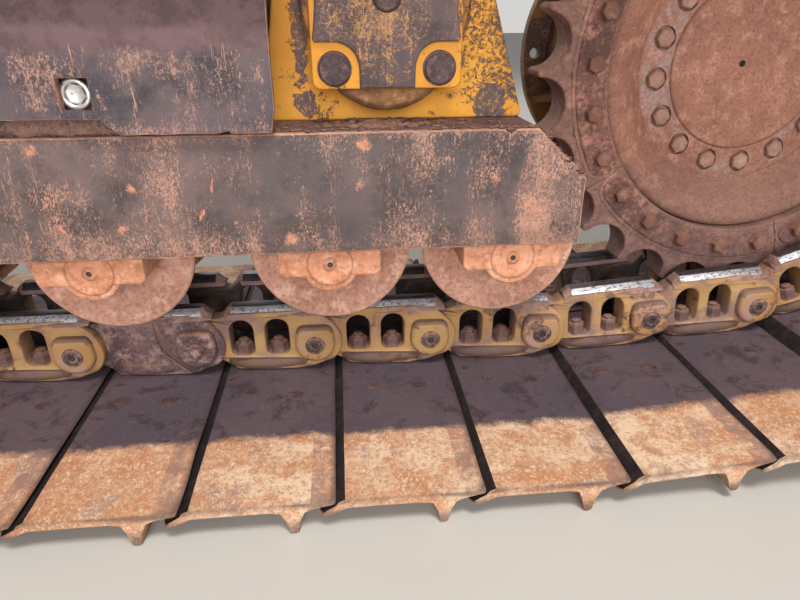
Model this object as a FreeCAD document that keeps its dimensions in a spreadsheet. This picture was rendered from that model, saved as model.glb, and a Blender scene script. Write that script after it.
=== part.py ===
import FreeCAD, Part
import Sketcher
import math
import os
import re

# Left-hand crawler track unit of a bulldozer, in millimetres.
# X points forward to the idler, Y outboard, Z up. The origin is on the ground,
# in the middle plane of the track, under the tip of one grouser near mid length.

Vector = FreeCAD.Vector
doc = FreeCAD.newDocument("crawler_track_unit")

# Driving dimensions: alias, value, meaning.
DIMENSIONS = (
    ("link_pitch", 216, "pin to pin distance of the track chain"),
    ("master_link_count", 2, "links between the first pin and the master link"),
    ("rail_height", 72, "rail top above the pin axis"),
    ("rail_front", 150, "front end of a link's rail, from its rear pin"),
    ("rail_rear", 8, "rear end of a link's rail, from its rear pin"),
    ("rail_inner", 55, "rail inner side from the track's middle plane"),
    ("rail_width", 44, "width of one link"),
    ("boss_reach", 46, "pin boss behind the pin axis"),
    ("boss_half_height", 29, "flat end of the pin boss, above and below the axis"),
    ("foot_drop", 60, "link foot, and shoe top, below the pin axis"),
    ("foot_rear", -20, "rear end of the link's foot, from its rear pin"),
    ("foot_front", 166, "front end of the link's foot, from its rear pin"),
    ("waist_inset", 20, "link's front end at pin level, from the next pin"),
    ("window_width", 45, "width of one window in a link"),
    ("window_web", 20, "web between a link's two windows"),
    ("window_rear", 43, "rear side of the rear window, from the rear pin"),
    ("window_floor", 15, "window floor below the pin axis"),
    ("window_crown", 48, "window crown above the pin axis"),
    ("window_crown_width", 28, "width of a window's crown"),
    ("bushing_radius", 33, "outside radius of a track bushing"),
    ("shoe_width", 914, "width of a track shoe"),
    ("shoe_plate", 17, "thickness of the shoe plate at the grouser"),
    ("shoe_rear", -30, "rear edge of a shoe, from its link's rear pin"),
    ("shoe_rear_plate", 10, "thickness of the shoe's rear edge"),
    ("shoe_bend", 168.5, "start of the shoe's front lip"),
    ("shoe_lip", 202.5, "front edge of the shoe's lip"),
    ("lip_drop", 21.5, "drop of the lip below the shoe's top"),
    ("grouser_height", 39, "grouser tip below the shoe plate"),
    ("grouser_station", 25, "grouser tip's middle, from the rear pin"),
    ("grouser_tip", 12, "thickness of a grouser's worn tip"),
    ("grouser_root", 38, "thickness of a grouser's root"),
    ("pin_bend", 1, "radius of the chain's path at the ends of its ground run"),
    ("sprocket_x", -1718, "sprocket axis"),
    ("sprocket_lift", 34, "sprocket's lowest pins above the ground run's pins"),
    ("sprocket_tooth_count", 25, "teeth of the sprocket, two for each link"),
    ("segment_count", 5, "bolt-on segments of the sprocket"),
    ("segment_slit", 1, "slit between two sprocket segments"),
    ("segment_depth", 136, "depth of a segment inside the pitch circle"),
    ("segment_side_gap", 17, "gap from the sprocket's teeth to the links"),
    ("tooth_depth", 12, "tooth tip inside the pitch circle"),
    ("tooth_gap_radius", 46, "radius of the gap between two teeth"),
    ("bushing_clearance", 0.5, "play of a bushing on the floor of its tooth gap"),
    ("hub_link_gap", 5, "gap from the hub's mounting flange to the rails"),
    ("hub_web", 24, "thickness of the hub's dished web"),
    ("hub_seat_gap", 1, "gap from the hub's seat to the segments"),
    ("hub_rim_step", 12, "hub's rim below the outer side of the teeth"),
    ("hub_flat_radius", 214, "outer radius of the hub's bolted ring"),
    ("hub_recess", 3, "hub's bolted ring, inboard of the middle plane"),
    ("hub_bore_radius", 150, "hub bore, round the drive cover"),
    ("cover_lap", 5, "drive cover beyond the hub's bore"),
    ("cover_plate", 6, "thickness of the round drive cover"),
    ("drive_play", 0.3, "gap from the hub's bore to the drive's spindle"),
    ("drive_gap", 3, "gap from the hub to the final drive's drum"),
    ("drive_drum_radius", 245, "drum of the final drive housing"),
    ("drive_flange_radius", 300, "mounting flange of the final drive"),
    ("drive_flange_plate", 32, "thickness of the mounting flange"),
    ("drive_flange_reach", 48, "mounting face inboard of the shoes"),
    ("drive_bolt_circle", 272, "radius of the mounting bolt circle"),
    ("drive_bolt_count", 8, "mounting bolt holes"),
    ("drive_bolt_hole", 13, "radius of a mounting bolt hole"),
    ("roller_rear_x", -1225, "rearmost track roller"),
    ("roller_step_short", 297.5, "short step between track rollers"),
    ("roller_step_long", 369, "long step between track rollers"),
    ("roller_tread_radius", 122, "tread of a track roller"),
    ("roller_flange_height", 16, "height of a track roller's flanges"),
    ("roller_flange_gap", 2, "gap from a roller's flanges to the links"),
    ("roller_flange_width", 17, "thickness of a track roller's flange"),
    ("end_play", 0.3, "gap from a wheel to what carries its shaft"),
    ("block_wing", 82, "half width of a roller's shaft block"),
    ("block_boss", 46, "half width of the boss under a shaft block"),
    ("block_nose", 22, "half width of the boss's flat underside"),
    ("block_shoulder", 22, "flat underside of a shaft block below the axis"),
    ("block_drop", 47, "underside of a shaft block's boss below the axis"),
    ("frame_rail_gap", 17, "gap from the track rollers to the frame's rails"),
    ("frame_rail_width", 70, "width of one of the frame's roller rails"),
    ("frame_rail_rise", 56, "underside of the frame's rails above the roller axes"),
    ("frame_roof_gap", 14, "gap over the track rollers' flanges"),
    ("frame_roof", 56, "thickness of the frame over the track rollers"),
    ("frame_rear_reach", 85, "frame's rear end behind the rear roller's axis"),
    ("frame_front_reach", 91.5, "frame's front end ahead of the front roller's axis"),
    ("wheel_clearance", 30, "gap from the sprocket and idler to the frame's notches"),
    ("guard_plate", 14, "thickness of a roller guard plate"),
    ("guard_drop", 32, "lower edge of the roller guards below the frame"),
    ("guard_rear_lap", 19, "roller guards behind the frame's rear end"),
    ("guard_front_lap", 27, "roller guards ahead of the frame's front end"),
    ("guard_chamfer_run", 83, "length of the guard's sloped corner"),
    ("guard_chamfer_drop", 78, "height of the guard's sloped corner"),
    ("beam_height", 242, "height of the recoil beam on the frame"),
    ("beam_shoulder", 85, "sloped shoulder of the recoil beam"),
    ("beam_saddle_gap", 0.5, "gap from the recoil beam to the saddle's foot"),
    ("cover_sheet", 16, "thickness of the front cover"),
    ("cover_lap_rear", 18, "front cover behind the recoil beam's rear end"),
    ("cover_length", 1285, "length of the front cover"),
    ("cover_low_gap", 3, "lower edge of the cover above the frame, behind its step"),
    ("cover_step_rise", 22, "rise of the cover's lower edge ahead of its step"),
    ("cover_step_place", 208, "foot of the cover's step, from its rear end"),
    ("cover_step_run", 24, "length of the cover's stepped edge"),
    ("port_place", 264, "middle of the grease port from the cover's rear end"),
    ("port_rise", 58, "middle of the grease port above the frame"),
    ("port_width", 45, "width of the grease port"),
    ("port_height", 40, "height of the grease port"),
    ("fitting_radius", 18, "grease fitting's cap, across corners"),
    ("fitting_inset", 2, "grease fitting inside the cover's outer side"),
    ("pivot_x", -1026, "pivot shaft axis"),
    ("pivot_foot_gap", 39, "gap from the pivot hub to the frame"),
    ("pivot_bore_radius", 70, "bore for the pivot shaft"),
    ("pivot_bore_depth", 270, "depth of the pivot bore from its inboard face"),
    ("pivot_hub_radius", 135, "hub round the pivot bore"),
    ("pivot_hub_outer_reach", 49, "pivot hub's outboard face beyond the saddle"),
    ("pivot_hub_inner_reach", 68, "pivot hub's inboard face beyond the saddle"),
    ("saddle_half_width", 107, "half width of the pivot saddle casting"),
    ("saddle_front_flare", 44, "front of the saddle's foot ahead of the hub"),
    ("saddle_rear_flare", 85, "rear of the saddle's foot behind the hub"),
    ("saddle_rear_taper", 84, "rear of the saddle's top ahead of its foot"),
    ("saddle_top_rise", 108, "saddle's top above the pivot axis"),
    ("saddle_top_reach", 148, "front of the saddle's top ahead of the pivot axis"),
    ("lower_boss_radius", 107, "round boss below the pivot cap"),
    ("lower_boss_drop", 49, "middle of the lower boss below the pivot axis"),
    ("lower_boss_setback", 3, "lower boss's outboard face inboard of the hub's"),
    ("cap_width", 220, "width of the pivot cap"),
    ("cap_height", 244, "height of the pivot cap"),
    ("cap_plate", 16, "thickness of the pivot cap"),
    ("cap_corner", 42, "radius of the pivot cap's corners"),
    ("cap_bolt_edge_x", 33, "cap bolt from the cap's side edge"),
    ("cap_bolt_edge_z", 28, "cap bolt from the cap's lower or upper edge"),
    ("cap_bolt_radius", 24, "round head of a cap bolt"),
    ("cap_bolt_head", 18, "height of a cap bolt's head"),
    ("idler_roller_gap", 10, "least gap from the idler's tread to the front track roller"),
    ("idler_lift", 13, "idler's lowest pins above the ground run's pins"),
    ("idler_tread_radius", 395, "tread of the idler"),
    ("idler_flange_height", 21, "height of the idler's centre flange"),
    ("idler_flange_gap", 7, "gap from the idler's centre flange to the links"),
    ("idler_hub_radius", 105, "hub of the idler"),
    ("idler_hub_step", 13, "idler's hub beyond its sides"),
    ("idler_block_length", 190, "length of an idler bearing block"),
    ("idler_block_height", 170, "height of an idler bearing block"),
    ("idler_block_width", 70, "width of an idler bearing block"),
    ("yoke_height", 96, "height of the yoke arms"),
    ("yoke_frame_gap", 20, "least gap from the yoke's arms to the frame"),
    ("yoke_bridge", 60, "length of the yoke's bridge"),
    ("yoke_bridge_gap", 36, "gap between the idler and the yoke's bridge"),
    ("recoil_rod_radius", 62, "recoil rod"),
    ("recoil_rod_reach", 42, "recoil rod between its end plate and the yoke"),
    ("recoil_plate_width", 176, "width and height of the recoil spring's end plate"),
    ("recoil_plate_gap", 2, "gap from the recoil spring's end plate to the frame"),
    ("recoil_plate", 26, "thickness of the recoil spring's end plate"),
    ("carrier_front_x", 900, "front carrier roller"),
    ("carrier_rear_x", -541, "rear carrier roller"),
    ("carrier_beam_gap", 40, "least gap from a carrier roller to the beam"),
    ("carrier_lift", 3.5, "upper run's pins over the carriers, above the idler's topmost"),
    ("carrier_tread_radius", 100, "tread of a carrier roller"),
    ("carrier_overhang", 7, "carrier roller beyond the links"),
    ("carrier_bracket_width", 80, "width of a carrier bracket"),
    ("carrier_bracket_foot", 200, "length of a carrier bracket's foot"),
    ("carrier_clamp_radius", 64, "clamp round the carrier's shaft"),
)

# Sizes and places that follow from the driving ones: alias, expression, meaning.
FRONT_ROLLER = "roller_rear_x + 3 * roller_step_short + 4 * roller_step_long"
DERIVED = (
    ("pin_height", "foot_drop + shoe_plate + grouser_height", "pin axis above the ground"),
    ("rail_outer", "rail_inner + rail_width", "outer side of the links"),
    ("pitch_radius", "link_pitch / (2 * sin(360 / sprocket_tooth_count))", "sprocket's pitch circle"),
    ("sprocket_z", "pin_height + sprocket_lift + pitch_radius", "sprocket axis"),
    ("segment_half_width", "rail_inner - segment_side_gap", "half width of the sprocket's teeth"),
    ("segment_inner_radius", "pitch_radius - segment_depth", "inner radius of the segments"),
    ("wrapped_rail_radius", "sqrt(pitch_radius^2 - (link_pitch / 2)^2) - rail_height",
     "nearest place of the rails to the sprocket's axis"),
    ("hub_flange_radius", "wrapped_rail_radius - hub_link_gap", "hub's mounting flange"),
    ("hub_inner_y", "-segment_half_width - hub_web", "inboard face of the sprocket's hub"),
    ("drive_flange_y", "-shoe_width / 2 - drive_flange_reach", "final drive's mounting face"),
    ("roller_z", "pin_height + rail_height + roller_tread_radius", "track roller axes"),
    ("roller_flange_radius", "roller_tread_radius + roller_flange_height", "roller flanges"),
    ("roller_flange_y", "rail_outer + roller_flange_gap", "inner side of a roller's flange"),
    ("roller_half_width", "roller_flange_y + roller_flange_width", "outer side of a flange"),
    ("frame_rail_inner", "roller_half_width + frame_rail_gap", "inner side of the frame's rails"),
    ("frame_half_width", "frame_rail_inner + frame_rail_width", "half width of the frame"),
    ("frame_bottom", "roller_z + frame_rail_rise", "underside of the frame's rails"),
    ("frame_cavity", "roller_z + roller_flange_radius + frame_roof_gap", "roof over the rollers"),
    ("frame_top", "frame_cavity + frame_roof", "top of the frame's lower section"),
    ("frame_rear", "roller_rear_x - frame_rear_reach", "rear end of the frame"),
    ("frame_front", FRONT_ROLLER + " + frame_front_reach", "front end of the frame"),
    ("guard_bottom", "frame_bottom - guard_drop", "lower edge of the roller guards"),
    ("guard_rear", "frame_rear - guard_rear_lap", "rear end of the roller guards"),
    ("guard_front", "frame_front + guard_front_lap", "front end of the roller guards"),
    ("beam_top", "frame_top + beam_height", "top of the recoil beam"),
    ("saddle_foot_front", "pivot_x + pivot_hub_radius + saddle_front_flare", "front of the saddle's foot"),
    ("saddle_foot_rear", "pivot_x - pivot_hub_radius - saddle_rear_flare", "rear of the saddle's foot"),
    ("beam_rear", "saddle_foot_front + beam_saddle_gap", "rear end of the recoil beam"),
    ("cover_rear", "beam_rear - cover_lap_rear", "rear end of the front cover"),
    ("cover_low_edge", "frame_top + cover_low_gap", "lower edge of the cover"),
    ("port_x", "cover_rear + port_place", "grease port"),
    ("port_z", "frame_top + port_rise", "grease port"),
    ("pivot_z", "frame_top + pivot_foot_gap + pivot_hub_radius", "pivot shaft axis"),
    ("pivot_hub_outer", "saddle_half_width + pivot_hub_outer_reach", "pivot hub's outboard face"),
    ("pivot_hub_inner", "-saddle_half_width - pivot_hub_inner_reach", "pivot hub's inboard face"),
    ("idler_path_radius", "sqrt((idler_tread_radius + rail_height)^2 + (link_pitch / 2)^2)",
     "path of the pins round the idler"),
    ("idler_z", "pin_height + idler_lift + idler_path_radius", "idler axis"),
    ("idler_flange_radius", "idler_tread_radius + idler_flange_height", "idler's centre flange"),
    ("idler_hub_half", "rail_outer + idler_hub_step", "half length of the idler's hub"),
    ("idler_block_inner", "idler_hub_half + end_play", "inner side of a bearing block"),
    ("idler_block_outer", "idler_block_inner + idler_block_width", "outer side of a bearing block"),
    ("carrier_path_radius", "carrier_tread_radius + rail_height", "path of the pins over a carrier"),
    ("carrier_over_idler", "idler_z + idler_path_radius + carrier_lift - carrier_path_radius",
     "carrier axis that holds the chain over the idler's top"),
    ("carrier_over_beam", "beam_top + carrier_beam_gap + carrier_tread_radius",
     "carrier axis clear of the beam"),
    ("carrier_z", "max(carrier_over_idler; carrier_over_beam)", "carrier axes before they are seated"),
    ("carrier_half_width", "rail_outer + carrier_overhang", "half length of a carrier roller"),
)

sheet = doc.addObject("Spreadsheet::Sheet", "Dimensions")
ALIASES = set()


def size(alias):
    return float(getattr(sheet, alias))


def bound(text):
    # An expression written with plain aliases, with each one tied to the sheet.
    return re.sub(r"[a-z_]+", lambda m: f"Dimensions.{m[0]}" if m[0] in ALIASES else m[0], str(text))


def value_of(text):
    return float(sheet.evalExpression(bound(text)))


def add_size(alias, value, meaning):
    row = len(ALIASES) + 1
    sheet.set(f"A{row}", meaning)
    sheet.set(f"B{row}", repr(value))
    sheet.setAlias(f"B{row}", alias)
    sheet.recompute()
    ALIASES.add(alias)


for alias, value, meaning in DIMENSIONS:
    add_size(alias, value, meaning)
for alias, expression, meaning in DERIVED:
    add_size(alias, value_of(expression), meaning)


def bind(target, **properties):
    for name, text in properties.items():
        target.setExpression(name.replace("__", "."), bound(text))


def new_body(label):
    body = doc.addObject("PartDesign::Body", label)
    body.Label = label
    return body


def sketch_on(body, role, offset="0"):
    plane = next(item for item in body.Origin.OriginFeatures if item.Role == role)
    sketch = body.newObject("Sketcher::SketchObject", body.Name + "_sketch")
    sketch.AttachmentSupport = [(plane, "")]
    sketch.MapMode = "FlatFace"
    bind(sketch, AttachmentOffset__Base__z=offset)
    return sketch


def pin_point(sketch, geometry, vertex, across, up):
    # Holds one point of the sketch at two distances from the sketch's origin.
    for kind, text in (("DistanceX", across), ("DistanceY", up)):
        index = sketch.addConstraint(Sketcher.Constraint(kind, -1, 1, geometry, vertex, value_of(text)))
        sketch.setExpression(f"Constraints[{index}]", bound(text))


def draw_outline(sketch, points):
    # A closed outline of straight lines through points given as two expressions.
    corners = [Vector(value_of(across), value_of(up), 0) for across, up in points]
    first = sketch.GeometryCount
    for start, end in zip(corners, corners[1:] + corners[:1]):
        sketch.addGeometry(Part.LineSegment(start, end), False)
    count = len(points)
    for index in range(count):
        following = first + (index + 1) % count
        sketch.addConstraint(Sketcher.Constraint("Coincident", first + index, 2, following, 1))
    for index, (across, up) in enumerate(points):
        pin_point(sketch, first + index, 1, across, up)


def draw_circle(sketch, across, up, radius):
    centre = Vector(value_of(across), value_of(up), 0)
    index = sketch.addGeometry(Part.Circle(centre, Vector(0, 0, 1), value_of(radius)), False)
    pin_point(sketch, index, 3, across, up)
    held = sketch.addConstraint(Sketcher.Constraint("Radius", index, value_of(radius)))
    sketch.setExpression(f"Constraints[{held}]", bound(radius))


def side_plate(label, points, y_low, y_high, circles=(), windows=()):
    # An outline in X and Z, padded inboard from y_high to y_low.
    body = new_body(label)
    sketch = sketch_on(body, "XZ_Plane", f"-({y_high})")
    draw_outline(sketch, points)
    for window in windows:
        draw_outline(sketch, window)
    for circle in circles:
        draw_circle(sketch, *circle)
    pad = body.newObject("PartDesign::Pad", label + "_pad")
    pad.Profile = sketch
    bind(pad, Length=f"{y_high} - ({y_low})")
    return body


def long_beam(label, points, x_low, x_high):
    # An outline in Y and Z, padded forward from x_low to x_high.
    body = new_body(label)
    sketch = sketch_on(body, "YZ_Plane", x_low)
    draw_outline(sketch, points)
    pad = body.newObject("PartDesign::Pad", label + "_pad")
    pad.Profile = sketch
    bind(pad, Length=f"{x_high} - ({x_low})")
    return body


def turned(label, profile, x_text, z_text):
    # A profile of radius and Y, turned about an axis along Y at x, z.
    body = new_body(label)
    sketch = sketch_on(body, "XY_Plane")
    draw_outline(sketch, profile)
    turn = body.newObject("PartDesign::Revolution", label + "_turn")
    turn.Profile = sketch
    turn.ReferenceAxis = (sketch, ["V_Axis"])
    turn.Angle = 360
    bind(body, Placement__Base__x=x_text, Placement__Base__z=z_text)
    return body


def rod(label, radius, y_low, y_high, x_text, z_text):
    # A round bar along Y.
    bar = doc.addObject("Part::Cylinder", label)
    bar.Label = label
    bar.Placement.Rotation = FreeCAD.Rotation(Vector(1, 0, 0), -90)
    bind(bar, Radius=radius, Height=f"{y_high} - ({y_low})", Placement__Base__x=x_text,
         Placement__Base__y=y_low, Placement__Base__z=z_text)
    return bar


def rod_along(label, radius, x_low, x_high, z_text):
    # A round bar along X, in the middle plane.
    bar = doc.addObject("Part::Cylinder", label)
    bar.Label = label
    bar.Placement.Rotation = FreeCAD.Rotation(Vector(0, 1, 0), 90)
    bind(bar, Radius=radius, Height=f"{x_high} - ({x_low})", Placement__Base__x=x_low,
         Placement__Base__z=z_text)
    return bar


def prism(label, sides, radius, y_low, y_high, x_text, z_text):
    # A bar along Y with flat sides, as a bolt's head.
    bar = doc.addObject("Part::Prism", label)
    bar.Label = label
    bar.Polygon = sides
    bar.Placement.Rotation = FreeCAD.Rotation(Vector(1, 0, 0), -90)
    bind(bar, Circumradius=radius, Height=f"{y_high} - ({y_low})", Placement__Base__x=x_text,
         Placement__Base__y=y_low, Placement__Base__z=z_text)
    return bar


def block(label, x_low, x_high, y_low, y_high, z_low, z_high):
    box = doc.addObject("Part::Box", label)
    box.Label = label
    bind(box, Length=f"{x_high} - ({x_low})", Width=f"{y_high} - ({y_low})",
         Height=f"{z_high} - ({z_low})", Placement__Base__x=x_low, Placement__Base__y=y_low,
         Placement__Base__z=z_low)
    return box


def group(label, members):
    # Like pieces that share one sub-part and don't touch.
    whole = doc.addObject("Part::Compound", label)
    whole.Label = label
    whole.Links = members
    return whole


def joined(label, members):
    whole = doc.addObject("Part::MultiFuse", label)
    whole.Label = label
    whole.Shapes = members
    return whole


def cut(label, base, tool):
    result = doc.addObject("Part::Cut", label)
    result.Label = label
    result.Base = base
    result.Tool = tool
    return result


def made_feature(label, shape):
    feature = doc.addObject("Part::Feature", label)
    feature.Label = label
    feature.Shape = shape
    return feature


# Chain loop. The pins lie on a belt drawn tight round circles. On the ground run
# the belt is followed rearward, then up round the sprocket and back over the top.

pitch = size("link_pitch")
pitch_radius = size("pitch_radius")
pin_height = size("pin_height")
first_pin_x = -size("grouser_station")
ROLLER_STEPS = ("short", "long", "long", "short", "long", "long", "short")
roller_stations = ["roller_rear_x"]
for step in ROLLER_STEPS:
    roller_stations.append(f"{roller_stations[-1]} + roller_step_{step}")


def ground_pins():
    # The outermost pins of the flat run, just past the first and last track rollers.
    rearward = math.ceil((first_pin_x - value_of(roller_stations[0])) / pitch)
    forward = math.ceil((value_of(roller_stations[-1]) - first_pin_x) / pitch)
    return first_pin_x - rearward * pitch, first_pin_x + forward * pitch


def belt_circles(idler_x):
    # Centre x, centre z and pin path radius, in the order met going rearward.
    rear_x, front_x = ground_pins()
    bend = size("pin_bend")
    return (
        (rear_x, pin_height + bend, bend),
        (size("sprocket_x"), size("sprocket_z"), pitch_radius),
        (size("carrier_rear_x"), size("carrier_z"), size("carrier_path_radius")),
        (size("carrier_front_x"), size("carrier_z"), size("carrier_path_radius")),
        (idler_x, size("idler_z"), size("idler_path_radius")),
        (front_x, pin_height + bend, bend),
    )


def line_stretch(start, end):
    length = math.dist(start, end)
    return length, lambda travel: tuple(a + (b - a) * travel / length for a, b in zip(start, end))


def arc_stretch(x, z, radius, start_angle, turn):
    def place(travel):
        angle = start_angle - travel / radius
        return (x + radius * math.cos(angle), z + radius * math.sin(angle))

    return radius * turn, place


def touching_point(circle, angle):
    x, z, radius = circle
    return (x + radius * math.cos(angle), z + radius * math.sin(angle))


def tangent_angle(circle, following):
    # Direction from both centres to where their common outer tangent touches.
    run, rise = following[0] - circle[0], following[1] - circle[1]
    return math.atan2(rise, run) + math.acos((circle[2] - following[2]) / math.hypot(run, rise))


def belt_path(idler_x):
    # Stretches of the belt from the first pin once round to the same pin.
    circles = belt_circles(idler_x)
    first_pin = (first_pin_x, pin_height)
    arrival = tangent_angle(circles[-1], circles[0])
    stretches = [line_stretch(first_pin, touching_point(circles[0], arrival))]
    for circle, following in zip(circles[:-1], circles[1:]):
        leave = tangent_angle(circle, following)
        stretches.append(arc_stretch(*circle, arrival, (arrival - leave) % (2 * math.pi)))
        stretches.append(line_stretch(touching_point(circle, leave), touching_point(following, leave)))
        arrival = leave
    leave = tangent_angle(circles[-1], circles[0])
    stretches.append(arc_stretch(*circles[-1], arrival, (arrival - leave) % (2 * math.pi)))
    stretches.append(line_stretch(touching_point(circles[-1], leave), first_pin))
    return stretches


def point_on(stretches, travel):
    for length, place in stretches[:-1]:
        if travel <= length:
            return place(travel)
        travel -= length
    return stretches[-1][1](travel)


def halved(low, high, too_low):
    # The value between low and high where too_low changes from true to false.
    for _ in range(60):
        middle = (low + high) / 2
        if too_low(middle):
            low = middle
        else:
            high = middle
    return (low + high) / 2


def belt_length(stretches):
    return sum(length for length, place in stretches)


def next_pin(stretches, pin, travel):
    # The next pin, one pitch away in a straight line, and its travel along the belt.
    travel = halved(travel + pitch, travel + pitch * 1.2,
                    lambda trial: math.dist(pin, point_on(stretches, trial)) < pitch)
    return point_on(stretches, travel), travel


def links_round(stretches):
    # As many links as it takes to reach once round the belt.
    pin, travel, count = point_on(stretches, 0), 0.0, 0
    while travel < belt_length(stretches):
        pin, travel = next_pin(stretches, pin, travel)
        count += 1
    return count


def walk_pins(stretches):
    pins, travel = [point_on(stretches, 0)], 0.0
    for _ in range(link_count):
        pin, travel = next_pin(stretches, pins[-1], travel)
        pins.append(pin)
    return pins, travel


def chain_reaches(idler_x):
    # Whether the chain is long enough to close round an idler at this place.
    stretches = belt_path(idler_x)
    return walk_pins(stretches)[1] > belt_length(stretches)


idler_stand_off = size("idler_tread_radius") + size("roller_flange_radius") + size("idler_roller_gap")
idler_rise = size("idler_z") - size("roller_z")
nearest_idler = value_of(roller_stations[-1]) + math.sqrt(idler_stand_off ** 2 - idler_rise ** 2)
link_count = links_round(belt_path(nearest_idler))
idler_x = halved(nearest_idler, nearest_idler + 2 * pitch, chain_reaches)
pins = walk_pins(belt_path(idler_x))[0][:link_count]

link_frames = []
for index, front_pin in enumerate(pins):
    rear_pin = pins[(index + 1) % link_count]
    rise = math.atan2(front_pin[1] - rear_pin[1], front_pin[0] - rear_pin[0])
    link_frames.append(FreeCAD.Placement(Vector(rear_pin[0], 0, rear_pin[1]),
                                         FreeCAD.Rotation(Vector(0, -1, 0), math.degrees(rise))))


def seated_carrier_z(carrier_x):
    # Height at which a carrier roller just touches the rails that rest on it.
    rail_ends = (size("rail_rear"), size("rail_front"))
    lines = []
    for place in link_frames:
        ends = [place.multVec(Vector(along, 0, size("rail_height"))) for along in rail_ends]
        if ends[0].z > size("carrier_z"):
            lines.append(Part.LineSegment(*ends).toShape())

    def is_clear(z):
        axis = Part.Vertex(carrier_x, 0, z)
        return min(axis.distToShape(line)[0] for line in lines) > size("carrier_tread_radius")

    return halved(size("carrier_z") - pitch, size("carrier_z") + pitch, is_clear)


SOLVED = (
    ("idler_x", idler_x, "idler axis, where the chain closes"),
    ("carrier_front_z", seated_carrier_z(size("carrier_front_x")), "front carrier axis, under the rails"),
    ("carrier_rear_z", seated_carrier_z(size("carrier_rear_x")), "rear carrier axis, under the rails"),
)
for alias, value, meaning in SOLVED:
    add_size(alias, value, meaning)
FOLLOWING = (
    ("yoke_front", "idler_x - idler_block_length / 2", "front ends of the yoke's arms"),
    ("bridge_front", "idler_x - idler_flange_radius - yoke_bridge_gap", "front of the yoke's bridge"),
    ("yoke_rear", "bridge_front - yoke_bridge", "rear of the yoke"),
    ("beam_front", "yoke_rear - recoil_rod_reach - recoil_plate", "front end of the recoil beam"),
    ("recoil_z", "frame_top + recoil_plate_gap + recoil_plate_width / 2", "recoil rod's axis"),
    ("yoke_low", "max(idler_z - yoke_height / 2; frame_top + yoke_frame_gap)",
     "underside of the yoke's arms"),
    ("yoke_high", "yoke_low + yoke_height", "top of the yoke's arms"),
)
for alias, expression, meaning in FOLLOWING:
    add_size(alias, value_of(expression), meaning)
doc.recompute()


def face_of(outline, y):
    # A flat face in a link's own frame: along the link and up from its rear pin.
    corners = [Vector(along, y, up) for along, up in outline]
    return Part.Face(Part.makePolygon(corners + corners[:1]))


def placed(shape, place):
    copy = shape.copy()
    copy.Placement = place
    return copy


def chain_side(outline, y_low, y_high, frames, windows=()):
    # The links of one side of the chain, each boss in one piece with the next link.
    plates = [placed(face_of(outline, y_low), place) for place in frames]
    whole = plates[0].fuse(plates[1:]).removeSplitter() if len(plates) > 1 else plates[0]
    openings = [placed(face_of(window, y_low), place) for place in frames for window in windows]
    if openings:
        whole = whole.cut(openings)
    return whole.Faces[0].extrude(Vector(0, y_high - y_low, 0))


def chain_pieces(label, outline, half_width, frames):
    solid = face_of(outline, -half_width).extrude(Vector(0, 2 * half_width, 0))
    return made_feature(label, Part.makeCompound([placed(solid, place) for place in frames]))


def link_outline():
    # Seen from outboard: foot, waist under the next boss, rail and pin boss.
    return [
        (size("foot_front"), -size("foot_drop")),
        (pitch - size("waist_inset"), size("boss_half_height") / 3),
        (size("rail_front"), size("rail_height")),
        (size("rail_rear"), size("rail_height")),
        (-size("boss_reach"), size("boss_half_height")),
        (-size("boss_reach"), -size("boss_half_height")),
        (size("foot_rear"), -size("foot_drop")),
    ]


def plain_link_outline():
    # Without the boss's lower corner, for the links that face inboard.
    foot, waist, rail_end, rail_start, boss_top, boss_bottom, heel = link_outline()
    return [foot, waist, rail_end, rail_start, boss_top, heel]


def link_window(rear):
    width = size("window_width")
    shoulder = (width - size("window_crown_width")) / 2
    return [
        (rear, -size("window_floor")),
        (rear + width, -size("window_floor")),
        (rear + width - shoulder, size("window_crown")),
        (rear + shoulder, size("window_crown")),
    ]


def shoe_outline():
    top = -size("foot_drop")
    bottom = top - size("shoe_plate")
    station = size("grouser_station")
    tip = size("grouser_tip") / 2
    root = size("grouser_root") / 2
    return [
        (size("shoe_lip"), top - size("lip_drop")),
        (size("shoe_bend"), top),
        (size("shoe_rear"), top),
        (size("shoe_rear"), top - size("shoe_rear_plate")),
        (station - root, bottom),
        (station - tip, -size("pin_height")),
        (station + tip, -size("pin_height")),
        (station + root, bottom),
    ]


def bushing_outline():
    corner_angles = [math.radians(72 * index + 18) for index in range(5)]
    radius = size("bushing_radius")
    return [(radius * math.cos(angle), radius * math.sin(angle)) for angle in corner_angles]


windows = [link_window(size("window_rear")),
           link_window(size("window_rear") + size("window_width") + size("window_web"))]
inner_y, outer_y = size("rail_inner"), size("rail_outer")
master_index = int(size("master_link_count"))
plain_frames = link_frames[master_index + 1:] + link_frames[:master_index]
outer_chain = chain_side(link_outline(), inner_y, outer_y, plain_frames, windows)
master = chain_side(link_outline(), inner_y, outer_y, [link_frames[master_index]])
made_feature("outer_links", outer_chain)
made_feature("master_link", master.cut(outer_chain))
made_feature("inner_links", chain_side(plain_link_outline(), -outer_y, -inner_y, link_frames))
chain_pieces("track_bushings", bushing_outline(), inner_y, link_frames)
chain_pieces("track_shoes", shoe_outline(), size("shoe_width") / 2, link_frames)

# Sprocket: segments with a tooth gap for every bushing place, on a dished hub.

teeth = int(size("sprocket_tooth_count"))
segments = int(size("segment_count"))
sprocket_axis = Vector(size("sprocket_x"), 0, size("sprocket_z"))
wrapped = min(pins, key=lambda pin: pin[0])
gap_angle = math.atan2(wrapped[1] - sprocket_axis.z, wrapped[0] - sprocket_axis.x)


def on_sprocket(radius, angle, y):
    return sprocket_axis + Vector(radius * math.cos(angle), y, radius * math.sin(angle))


def disc(centre, radius):
    # A disc as thick as the sprocket's teeth.
    half_tooth = size("segment_half_width")
    return Part.makeCylinder(radius, 2 * half_tooth, centre - Vector(0, half_tooth, 0), Vector(0, 1, 0))


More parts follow.
